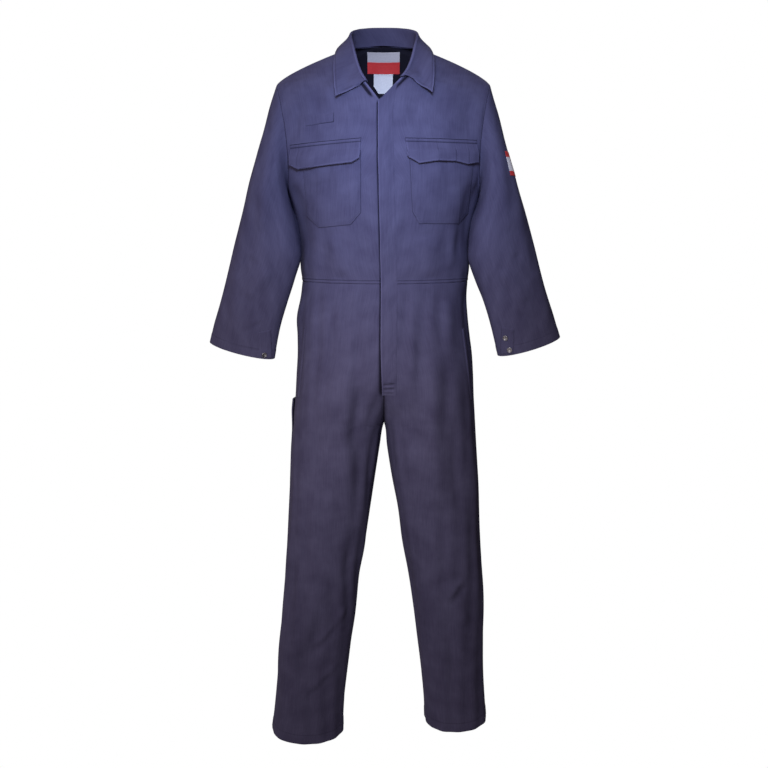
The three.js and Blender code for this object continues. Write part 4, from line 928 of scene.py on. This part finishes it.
def placketSheet():
    rows = np.unique(np.r_[spaced(680, 4, (0, 0.5, 1.1, 2)), 1 - np.arange(3.5, 36, 1.5) / 680])
    rightLine, leftLine = alongLine(placket["rightLine"], rows), alongLine(placket["leftLine"], rows)
    t = spaced(36, 1.8, (0, 0.5, 1.1))
    flat = leftLine[:, None] * (1 - t)[None, :, None] + rightLine[:, None] * t[None, :, None]
    a, b = flat[..., 0], flat[..., 1]
    points = layOn(fronts, a, b, passes=4)
    sheet = sheetOf(points, (0, -1, 0))
    fromLeft, fromRight = sheet["edges"]["start"], sheet["edges"]["end"]
    height = 0.5 + placket["thickness"] + placket["edgeLift"] * (1 - ease(fromLeft / 9))
    height = height - (0.5 + placket["thickness"] - 0.1) * (1 - ease(fromRight / 24))
    fromEnd = sheet["edges"]["top"]
    height = height - (placket["edgeLift"] + 1.2) * (1 - ease(fromEnd / 30)) * (1 - ease((fromLeft - 9) / 3) * 0.5)
    lift(sheet, np.maximum(height, 0.7) + 0.5 * slack(points, 55, 1.0, 12) * ease(fromEnd / 30))
    # Painted highlight along the free edge.
    sheet["shade"] = sheet["shade"] + 0.9 * np.exp(-((fromLeft / 1.6) ** 2))
    across = ease((fromLeft - 2) / 3) * ease((fromRight - 3) / 6)
    # Ridges and grooves across the fly's end; the grooves are painted dark as shade and the ridges pale as painted
    # highlight.
    for line, darker in placket["endLines"]:
        ridge = across * np.exp(-(((fromEnd - line) / 1.8) ** 2))
        lift(sheet, -0.5 * darker * ridge)
        sheet["shade"] = sheet["shade"] - darker * ridge
    return sheet


sheet = bases["placket"] = placketSheet()
pieces["placket"] = buildSheet("placket_strip", sheet, cloth, placket["thickness"], bevel=0.4)
finishSheet(pieces["placket"], sheet, ["placket"])

# Chest pockets and their flaps; the left flap stands off further
pockets = {
    right: {"top": [(-187, -232), (-52, -232)], "bottom": [(-178, -379), (-150, -406), (-75, -399), (-52, -372)]},
    left: {"top": [(56, -232), (207, -232)], "bottom": [(64, -370), (80, -397), (172, -397), (195, -371)]},
    "thickness": 1.4, "fullness": 2.5, "stitching": (2.0, 4.5),
}
flaps = {
    right: {"top": [(-216, -217), (-51, -204)], "bottom": [(-212, -262), (-193, -273), (-72, -260), (-55, -249)],
            "lift": 8},
    left: {"top": [(47, -204), (213, -206)],
           "bottom": [(54, -247), (79, -262), (120, -256), (160, -256), (189, -262), (212, -256)], "lift": 8},
    "thickness": 2.0, "stitching": 8.4,
}
tab = {"top": [(-182, -150.5), (-113.5, -146.5)], "bottom": [(-178, -176), (-113.5, -168)], "thickness": 1.2}

flapRows = (0, 0.5, 1.1, 2, 3.5, 5, 6.2, 7.2, 7.8, 8.4, 9, 9.6, 10.6)
for side in (right, left):
    name = sideNames[side]
    shape = pockets[side]
    outline = shape["top"] + shape["bottom"][::-1]
    tree = treeOf(pieces[f"front_{name}"])

    def pocketHeight(a, b, edge):
        return 0.4 + pockets["thickness"] * ease(edge / 1.2) + pockets["fullness"] * fullIn(a, b, outline)

    # Painted shade at the pocket's edge and in its stitching, with a painted highlight just inside the edge.
    sheet = patchSheet(tree, shape["top"], shape["bottom"], pocketHeight, pockets["stitching"])
    bases[f"pocket_{name}"] = sheet
    pieces[f"pocket_{name}"] = buildSheet(f"chest_pocket_{name}", sheet, cloth, pockets["thickness"], bevel=0.4)
    finishSheet(pieces[f"pocket_{name}"], sheet, [f"pocket_{name}"])

    tree = treeOf(pieces[f"front_{name}"], pieces[f"pocket_{name}"])
    shape = flaps[side]
    topZ = shape["top"][0][1]

    def flapHeight(a, b, edge):
        bending = shape["lift"] * ease((topZ - 9 - b) / 26)
        return 0.3 + flaps["thickness"] * ease(edge / 1.2) + bending + 0.8 * np.sin(a / 17) * ease((topZ - b) / 40)

    # Painted highlight along the flap's edges; painted shade in the groove of the stitching row 8.4 mm below the top
    # and along the sewn top edge.
    sheet = patchSheet(tree, shape["top"], shape["bottom"], flapHeight, passes=6, rimShade=0.45, rimDark=-0.7,
                       topRim=flapRows)
    sunk = np.exp(-(((sheet["edges"]["bottom"] - flaps["stitching"]) / 1.1) ** 2))
    lift(sheet, -0.7 * sunk)
    sheet["shade"] = sheet["shade"] - 1.0 * sunk - 3.0 * np.exp(-((sheet["edges"]["bottom"] / 1.5) ** 2))
    bases[f"flap_{name}"] = sheet
    pieces[f"flap_{name}"] = buildSheet(f"pocket_flap_{name}", sheet, cloth, flaps["thickness"], bevel=0.5)
    finishSheet(pieces[f"flap_{name}"], sheet, [f"flap_{name}"])

sheet = patchSheet(treeOf(pieces["front_right"]), tab["top"], tab["bottom"],
                   lambda a, b, edge: 0.3 + tab["thickness"] * ease(edge / mix(12, 1, ease((a + 165) / 30) * ease((-146 - b) / 18))),
                   spacing=1.5, rimShade=0, rimDark=0)
# Painted shade along its end and top edges.
nearEnd = np.exp(-((sheet["edges"]["end"] / 1.3) ** 2)) + 0.8 * np.exp(-((sheet["edges"]["top"] / 1.3) ** 2))
sheet["shade"] = sheet["shade"] - 0.9 * nearEnd
bases["chest_tab"] = sheet
pieces["chest_tab"] = buildSheet("chest_loop", sheet, cloth, tab["thickness"], bevel=0.3)
finishSheet(pieces["chest_tab"], sheet, ["chest_tab"])
print("placket, pockets and flaps ready")

# Collar: a stand and a fall-down leaf in one piece, from the centre back (0) round to each front end (1)
collar = {"thickness": 2.0, "foldRadius": 2.5, "leftLift": 9, "lie": 4.5, "rise": 2.8, "side": 0.46,
          "end": {right: 0.28, left: 0.36}, "stitching": 6.0}
collarTable = columns("at foldX foldY foldZ edgeX edgeY edgeZ", [
    (-0.18, -42, 59, 64, -56, 105, 0), (0, 0, 66, 66, 0, 112, 2), (0.18, 42, 59, 64, 56, 105, 0),
    (0.34, 71, 31, 55, 99, 62, 0), (0.46, 78, 0, 42, 112, 6, 0), (0.6, 72, -30, 16, 115, -42, -17),
    (0.75, 63, -61, -22, 115, -78, -48), (0.88, 53, -88, -52, 113, -106, -83), (1, 42, -107, -74, 109, -123, -111),
])
bodice = treeOf(*(pieces[f"{face}_{name}"] for face in ("front", "back") for name in sideNames.values()))
overBodice = treeOf(*(pieces[f"{face}_{name}"] for face in ("front", "back") for name in sideNames.values()),
                    pieces["placket"])


def clearOf(tree, p, face, clearance):
    near, normal = tree.find_nearest(Vector((p + (0, face * 15, 15)) * mm))[:2]
    near, normal = np.array(near) / mm, np.array(normal)
    if normal @ (p * (1, 1, 0) + (0, 0, 60)) < 0:
        normal = -normal
    return p + normal * max(0, clearance - (p - near) @ normal)


def neckSeam(side, at):
    face = front if at > collar["side"] else back
    share = mix(1, collar["end"][side], (at - collar["side"]) / (1 - collar["side"])) if face == front else at / collar["side"]
    v = neckV[face] + share * (1 - neckV[face])
    vs = np.clip(np.array([v - 0.003, v, v + 0.003]), neckV[face] + 0.001, 1)
    us = np.array([0.99, 0.995, 1.0])
    grid = bodicePoint(side, face, *np.meshgrid(us, vs))
    normal = normalsOf(grid, np.array((side * 0.3, face * 0.5, 1)))[1, 2]
    away = unit(np.cross(normal, unit(grid[2, 2] - grid[0, 2])))
    if away @ (grid[1, 2] - grid[1, 0]) < 0:
        away = -away
    if at == 0:
        normal[0] = away[0] = 0
    return grid[1, 2] - normal * 0.75 + away * collar["rise"]


def collarSection(side, at):
    value = {name: float(read(collarTable, "at", name, at)) for name in collarTable}
    raised = collar["leftLift"] * at**4 if side == left else 0
    face = front if at > collar["side"] else back
    seam = neckSeam(side, at)
    fold = np.array((side * value["foldX"], value["foldY"], value["foldZ"] + raised))
    lie = collar["lie"] + 1.5 * ease((at - 0.7) / 0.3)
    edge = clearOf(overBodice, np.array((side * value["edgeX"], value["edgeY"], value["edgeZ"] + raised)), face, lie)
    up = unit(fold - seam)
    out = unit((edge - fold) * (1, 1, 0))
    out = unit(out - up * (out @ up))
    middle = fold - up * collar["foldRadius"]
    turn = np.linspace(0, math.pi, 7)[:, None]
    rounded = middle + collar["foldRadius"] * (-out * np.cos(turn) + up * np.sin(turn))
    start = rounded[-1]
    length = np.linalg.norm(edge - start)
    leave = start - 0.3 * length * up + 0.12 * length * out
    arrive = start + 0.6 * (edge - start) + 0.1 * length * out + (0, 0, 0.05 * length)
    leaf = bezier(start, leave, arrive, edge, np.linspace(0.12, 1, 9))
    leaf = [clearOf(overBodice, p, face, lie) for p in leaf]
    stand = [mix(seam, rounded[0], t) for t in (0, 0.25, 0.5, 0.75)]
    return np.array(stand + list(rounded) + list(leaf))


def collarSheet():
    stations = np.unique(np.r_[np.linspace(-1, 1, 131), [-0.997, -0.99, 0.99, 0.997]])
    sections = np.array([collarSection(right if w < 0 else left, abs(w)) for w in stations])
    t = np.linspace(0, 1, sections.shape[1])
    fine = np.unique(np.r_[np.linspace(0, 1, 64), 0.985, 0.993, 0.997])
    points = np.zeros((len(fine), len(stations), 3))
    fromFold = np.zeros((len(fine), len(stations)))
    for j, section in enumerate(sections):
        lengths = shares(section)
        rows = {"t": lengths, "x": section[:, 0], "y": section[:, 1], "z": section[:, 2]}
        points[:, j] = stacked(*(read(rows, "t", axis, fine) for axis in "xyz"))
        fromFold[:, j] = (fine - lengths[8]) * np.linalg.norm(np.diff(section, axis=0), axis=1).sum()
    points = averaged(points, 1)
    along = np.gradient(points, axis=0)
    across = np.gradient(points, axis=1)
    sheet = sheetOf(points, np.cross(along, across))
    edge = np.minimum(np.minimum(sheet["edges"]["start"], sheet["edges"]["end"]), sheet["edges"]["top"])
    leafOnly = ease((fine - 0.45) / 0.1)[:, None]
    sunk = np.exp(-(((edge - collar["stitching"]) / 0.9) ** 2)) * leafOnly
    lift(sheet, 0.5 * (1 - ease((edge - collar["stitching"]) / 2)) * leafOnly - 0.5 * sunk)
    lift(sheet, 0.35 * slack(points, 45, 1.0, 21) * leafOnly)
    # Painted shade in the stitch groove, a painted highlight along the leaf's edge, and towards the front ends a
    # painted highlight along the fold.
    sheet["shade"] = sheet["shade"] - 0.45 * sunk + 1.0 * np.exp(-((edge / 1.8) ** 2)) * leafOnly
    atFront = ease((np.abs(stations) - 0.5) / 0.2)[None]
    sheet["shade"] = sheet["shade"] + 1.0 * atFront * np.exp(-((fromFold / 2.2) ** 2))
    return sheet


sheet = bases["collar"] = collarSheet()
lift(sheet, collar["thickness"] / 2)
pieces["collar"] = buildSheet("collar_leaf", sheet, cloth, collar["thickness"], bevel=0.5)
finishSheet(pieces["collar"], sheet, ["collar"])
print("collar ready")

# Hip pocket welts, rule pocket and cuff laps
welts = {
    right: {"top": [(-190, -640), (-181, -640)], "bottom": [(-206, -805), (-199, -805)]},
    left: {"top": [(181, -640), (190, -640)], "bottom": [(203, -811), (210, -811)]},
    "thickness": 1.4,
}
rulePocket = {"top": [(3, -812), (90, -812)], "bottom": [(3, -1130), (90, -1130)], "thickness": 1.4, "mouthLift": 6}
cuffLaps = {
    right: {"top": [(-292, -646), (-262, -640)], "bottom": [(-290, -706), (-261, -710)]},
    left: {"top": [(272, -632), (302, -638)], "bottom": [(271, -701), (302, -697)]},
    "thickness": 1.6,
}
fromRight = {"origin": (-400, 0, 0), "across": (0, 1, 0), "up": (0, 0, 1), "way": (1, 0, 0)}
for side in (right, left):
    name = sideNames[side]
    shape = welts[side]
    leg = pieces[f"leg_front_{name}"]
    # The welts' edges get a painted highlight, stronger on the left, beside a line of painted shade.
    sheet = patchSheet(treeOf(leg), shape["top"], shape["bottom"],
                       lambda a, b, edge: 0.2 + welts["thickness"] * ease(edge / 3), (2.0,), spacing=2.5,
                       rimShade=1.3 if side == left else 0.3, rimDark=0.6)
    bases[f"hip_welt_{name}"] = sheet
    pieces[f"hip_welt_{name}"] = buildSheet(f"hip_pocket_welt_{name}", sheet, cloth, welts["thickness"], bevel=0.4)
    finishSheet(pieces[f"hip_welt_{name}"], sheet, [f"hip_welt_{name}"])
leg = pieces["leg_back_right"]
# Painted shade at its edge and in its stitching, with a painted highlight just inside the edge.
sheet = patchSheet(treeOf(leg), rulePocket["top"], rulePocket["bottom"],
                   lambda a, b, edge: 0.3 + rulePocket["thickness"] * ease(edge / 1.2)
                   + rulePocket["mouthLift"] * ease((b - rulePocket["top"][0][1] + 110) / 90) * ease(edge / 8 + 0.5),
                   (2.0, 8.0), spacing=3, seen=fromRight)
bases["rule_pocket"] = sheet
pieces["rule_pocket"] = buildSheet("side_rule_pocket", sheet, cloth, rulePocket["thickness"], bevel=0.4)
finishSheet(pieces["rule_pocket"], sheet, ["rule_pocket"])

for side in (right, left):
    name = sideNames[side]
    shape = cuffLaps[side]
    sleeve = pieces[f"sleeve_{name}"]
    # A faint line of painted shade at the lap's edge.
    sheet = patchSheet(treeOf(sleeve), shape["top"], shape["bottom"],
                       lambda a, b, edge: 0.2 + cuffLaps["thickness"] * ease(edge / 3), spacing=1.5, rimShade=0, rimDark=0.15)
    bases[f"cuff_lap_{name}"] = sheet
    pieces[f"cuff_lap_{name}"] = buildSheet(f"cuff_closing_lap_{name}", sheet, cloth, cuffLaps["thickness"], bevel=0.4)
    finishSheet(pieces[f"cuff_lap_{name}"], sheet, [f"cuff_lap_{name}"])

# Labels: plain woven tape, sewn inside the back of the neck and on the wearer's left upper arm
labels = {
    "neckTop": {"top": [(-40, 11), (38, 11)], "bottom": [(-40, -11), (38, -11)]},
    "neckLow": {"top": [(-40, -11), (38, -11)], "bottom": [(-40, -37), (38, -37)]},
    "care": {"top": [(-25, -37.4), (22, -37.4)], "bottom": [(-25, -66), (-14, -82), (20, -82)]},
    "sleeve": {"width": 38, "length": 58, "topBand": 14, "lowBand": 10.5},
    "thickness": 0.6,
}
fromInside = {"origin": (0, 0, 0), "across": (1, 0, 0), "up": (0, 0, 1), "way": (0, 1, 0)}
backs = treeOf(pieces["back_right"], pieces["back_left"])
inside = 1.5 + 0.3 + labels["thickness"]


def labelPiece(name, shape, tree, seen, material, nodes, off=inside):
    sheet = patchSheet(tree, shape["top"], shape["bottom"], lambda a, b, edge: off + 0 * a, spacing=2, seen=seen)
    sheet["shade"] = 0 * sheet["shade"]
    bases[name] = sheet
    pieces[name] = buildSheet(name, sheet, material, labels["thickness"], bevel=0.2)
    finishSheet(pieces[name], sheet, nodes)


labelPiece("neck_label_top", labels["neckTop"], backs, fromInside, greyTape, ["neck_label"])
labelPiece("neck_label_low", labels["neckLow"], backs, fromInside, redTape, ["neck_label"])
labelPiece("care_label_tape", labels["care"], backs, fromInside, whiteTape, ["care_label"])

low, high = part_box("sleeve_label")
labelMiddle = (low + high) / 2
leftSleeve = treeOf(pieces["sleeve_left"])
seat, seatNormal = leftSleeve.find_nearest(labelMiddle)[:2]
seat, outward = np.array(seat) / mm, np.array(seatNormal)
downSleeve = unit(sleevePoint(left, 0.6 * np.ones(1), 4 * np.ones(1))[0] - sleevePoint(left, 0.6 * np.ones(1), 1 * np.ones(1))[0])
upSleeve = unit(-(downSleeve - outward * (downSleeve @ outward)))
acrossSleeve = np.cross(upSleeve, outward)
onSleeve = {"origin": seat + outward * 40, "across": acrossSleeve, "up": upSleeve, "way": -outward}
half, tall = labels["sleeve"]["width"] / 2, labels["sleeve"]["length"] / 2
upper, lower = tall - labels["sleeve"]["topBand"], labels["sleeve"]["lowBand"] - tall
sleeveBands = [("top", tall, upper, redTape, "label_red"), ("middle", upper, lower, whiteTape, "label_white"),
               ("low", lower, -tall, redTape, "label_red")]
for name, high, low, material, slotName in sleeveBands:
    shape = {"top": [(-half, high), (half, high)], "bottom": [(-half, low), (half, low)]}
    labelPiece(f"sleeve_label_{name}", shape, leftSleeve, onSleeve, material, ["sleeve_label"],
               0.3 + labels["thickness"])
print("labels ready")

# Press studs on the cuff laps: a cap with a rolled rim and a dished middle
stud = {"radius": 6.2, "rim": 1.1, "height": 2.0, "dish": 0.7, "places": {
    right: [(-279, -700)], left: [(292, -688), (282, -660)]}}
for side in (right, left):
    lap = treeOf(pieces[f"cuff_lap_{sideNames[side]}"])
    for k, (x, z) in enumerate(stud["places"][side]):
        place, normal = lap.ray_cast(Vector((x, -400, z)) * mm, Vector((0, 1, 0)))[:2]
        bm = bmesh.new()
        bmesh.ops.create_circle(bm, cap_ends=True, segments=40, radius=stud["radius"] * mm)
        raised = bmesh.ops.extrude_face_region(bm, geom=bm.faces[:])
        top = [face for face in raised["geom"] if isinstance(face, bmesh.types.BMFace)]
        bmesh.ops.translate(bm, verts=top[0].verts[:], vec=(0, 0, stud["height"] * mm))
        bmesh.ops.inset_region(bm, faces=top, thickness=0.4 * mm, depth=0.3 * mm)
        bmesh.ops.inset_region(bm, faces=top, thickness=stud["rim"] * mm, depth=0.0)
        bmesh.ops.inset_region(bm, faces=top, thickness=0.4 * mm, depth=-stud["dish"] * mm)
        bmesh.ops.inset_region(bm, faces=top, thickness=2.2 * mm, depth=0.2 * mm)
        bmesh.ops.inset_region(bm, faces=top, thickness=0.5 * mm, depth=-0.3 * mm)
        bmesh.ops.recalc_face_normals(bm, faces=bm.faces)
        turn = Vector((0, 0, 1)).rotation_difference(-normal if normal.y > 0 else normal)
        bmesh.ops.transform(bm, matrix=Matrix.Translation(place) @ turn.to_matrix().to_4x4(), verts=bm.verts)
        name = f"cuff_stud_{sideNames[side]}" + (f"_{k + 1}" if k else "")
        mesh = bpy.data.meshes.new(name + "_cap")
        for face in bm.faces:
            face.smooth = True
        bm.to_mesh(mesh)
        bm.free()
        mesh.materials.append(studMetal)
        cap = bpy.data.objects.new(name + "_cap", mesh)
        scene.collection.objects.link(cap)
        rounding = cap.modifiers.new("worn edges", "BEVEL")
        rounding.width = 0.25 * mm
        rounding.segments = 2
        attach(cap, "root")
        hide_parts(name)
print("studs ready")

# Stitching: one short thread for each stitch, along rows at set distances from the edges
sewing = {"pitch": 3.4, "length": 2.3, "radius": 0.34, "sunk": 0.05, "barLength": 9, "barPitch": 0.9, "barWidth": 2.4}
stitchCount = 0


def rowAt(sheet, edge, distance, fromShare=0.0, toShare=1.0):
    # The line on a sheet that runs at one distance from an edge
    values, points, normals = sheet["edges"][edge], sheet["points"], sheet["normals"]
    if edge in ("bottom", "top"):
        values, points, normals = values.T, points.swapaxes(0, 1), normals.swapaxes(0, 1)
    found = []
    for d, p, n in zip(values, points, normals):
        if d[0] > d[-1]:
            d, p, n = d[::-1], p[::-1], n[::-1]
        found.append([[np.interp(distance, d, q[:, k]) for k in range(3)] for q in (p, n)])
    found = np.array(found)
    last = len(found) - 1
    return found[int(round(fromShare * last)) : int(round(toShare * last)) + 1]


def rowOn(piece, line, seen=fromFront):
    # A flat line dropped onto a finished piece
    line = np.array(line, float)
    length = np.linalg.norm(np.diff(line, axis=0), axis=1).sum()
    flat = alongLine(line, np.linspace(0, 1, max(2, int(length / 2))))
    tree = treeOf(piece)
    points = layOn(tree, flat[:, 0], flat[:, 1], seen)
    normals = [np.array(tree.find_nearest(Vector(p * mm))[1]) for p in points]
    way = np.array(seen["way"], float)
    normals = [n if n @ way < 0 else -n for n in normals]
    return np.stack([points, np.array(normals)], 1)


def oneStitch(bm, middle, way, normal, length):
    global stitchCount
    across = np.cross(normal, way)
    turn = Matrix(np.stack([way, across, normal], 1).tolist()).to_4x4()
    size = Matrix.Diagonal((length / 2 * mm, sewing["radius"] * mm, sewing["radius"] * mm, 1))
    place = Matrix.Translation(((middle - normal * sewing["sunk"]) * mm).tolist())
    bmesh.ops.create_icosphere(bm, subdivisions=1, radius=1, matrix=place @ turn @ size)
    stitchCount += 1


def addTo(target, bm):
    row = bpy.data.meshes.new("row")
    bm.to_mesh(row)
    bm.free()
    target.from_mesh(row)
    bpy.data.meshes.remove(row)


def sewRow(target, row):
    bm = bmesh.new()
    points, normals = row[:, 0], row[:, 1]
    run = np.r_[0, np.cumsum(np.linalg.norm(np.diff(points, axis=0), axis=1))]
    spots = np.arange(sewing["pitch"] / 2, run[-1], sewing["pitch"])
    for spot in spots:
        ends = [np.array([np.interp(spot + h, run, points[:, k]) for k in range(3)]) for h in (-1, 1)]
        normal = unit(np.array([np.interp(spot, run, normals[:, k]) for k in range(3)]))
        way = unit(ends[1] - ends[0])
        oneStitch(bm, (ends[0] + ends[1]) / 2, way, unit(normal - way * (normal @ way)), sewing["length"])
    addTo(target, bm)


def sewBar(target, piece, start, end, seen=fromFront):
    # A bartack: close stitches across a short line
    bm = bmesh.new()
    row = rowOn(piece, [start, end], seen)
    points, normals = row[:, 0], row[:, 1]
    count = int(np.linalg.norm(points[-1] - points[0]) / sewing["barPitch"])
    for k in range(count + 1):
        t = k / max(count, 1) * (len(points) - 1)
        at = np.array([np.interp(t, range(len(points)), points[:, j]) for j in range(3)])
        along = unit(points[-1] - points[0])
        normal = unit(normals[int(t)] - along * (normals[int(t)] @ along))
        oneStitch(bm, at, np.cross(normal, along), normal, sewing["barWidth"])
    addTo(target, bm)


def stitchObject(name, bm):
    mesh = bpy.data.meshes.new(name)
    for face in bm.faces:
        face.smooth = True
    bm.to_mesh(mesh)
    bm.free()
    mesh.materials.append(threadFinish)
    piece = bpy.data.objects.new(name, mesh)
    scene.collection.objects.link(piece)
    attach(piece, "root")


bodiceSewing, legSewing, patchSewing = bmesh.new(), bmesh.new(), bmesh.new()
for name in sideNames.values():
    for face in ("front", "back"):
        for distance in (1.8, 7.6):
            sewRow(bodiceSewing, rowAt(bases[f"{face}_{name}"], "bottom", distance))
    for distance in (1.8, 7.6):
        sewRow(bodiceSewing, rowAt(bases[f"back_{name}"], "top", distance))
        sewRow(legSewing, rowAt(bases[f"leg_back_{name}"], "start", distance))
    for face in ("front", "back"):
        sewRow(bodiceSewing, rowAt(bases[f"{face}_{name}"], "start", 6.5, 0.42, 1))
        sewRow(legSewing, rowAt(bases[f"leg_{face}_{name}"], "bottom", 22))
    for distance in (1.8, 7.6):
        sewRow(legSewing, rowAt(bases[f"leg_back_{name}"], "end", distance))
    sewRow(bodiceSewing, rowAt(bases[f"front_{name}"], "end", 5.5, 0.72, 1))
    sewRow(bodiceSewing, rowAt(bases[f"sleeve_{name}"], "top", 22))
sewRow(patchSewing, rowAt(bases["placket"], "end", 2.0))
for edge in ("start", "end", "top"):
    row = rowAt(bases["collar"], edge, collar["stitching"], 0.6 if edge != "top" else 0.02, 1 if edge != "top" else 0.98)
    sewRow(patchSewing, row)
for side in (right, left):
    name = sideNames[side]
    shape = pockets[side]
    for distance in pockets["stitching"][:1] + (8.0,):
        inset = insetOutline(shape["top"] + shape["bottom"][::-1], distance)
        sewRow(patchSewing, rowOn(pieces[f"pocket_{name}"], [inset[0], inset[5], inset[4], inset[3], inset[2], inset[1]]))
    shape = flaps[side]
    for distance in (1.6, flaps["stitching"]):
        sewRow(patchSewing, rowAt(bases[f"flap_{name}"], "bottom", distance))
    (x1, z1), (x2, z2) = shape["top"]
    for x, z in ((x1 + 2, z1), (x2 - 2, z2)):
        sewBar(patchSewing, pieces[f"flap_{name}"], (x, z - 1), (x, z - sewing["barLength"] - 1))
    sewRow(patchSewing, rowAt(bases[f"hip_welt_{name}"], "start" if side == left else "end", 2.0))
for distance in (2.0, 8.0):
    for edge in ("start", "end", "top"):
        sewRow(patchSewing, rowAt(bases["rule_pocket"], edge, distance))
inset = insetOutline(tab["top"] + tab["bottom"][::-1], 1.8)
sewRow(patchSewing, rowOn(pieces["chest_tab"], [inset[1], inset[2], inset[3]]))
for z in (-760, -772):
    sewBar(patchSewing, pieces["placket"], (0, z), (26, z))
stitchObject("stitching_bodice", bodiceSewing)
stitchObject("stitching_legs", legSewing)
stitchObject("stitching_patches", patchSewing)
print(f"stitching ready, {stitchCount} stitches")
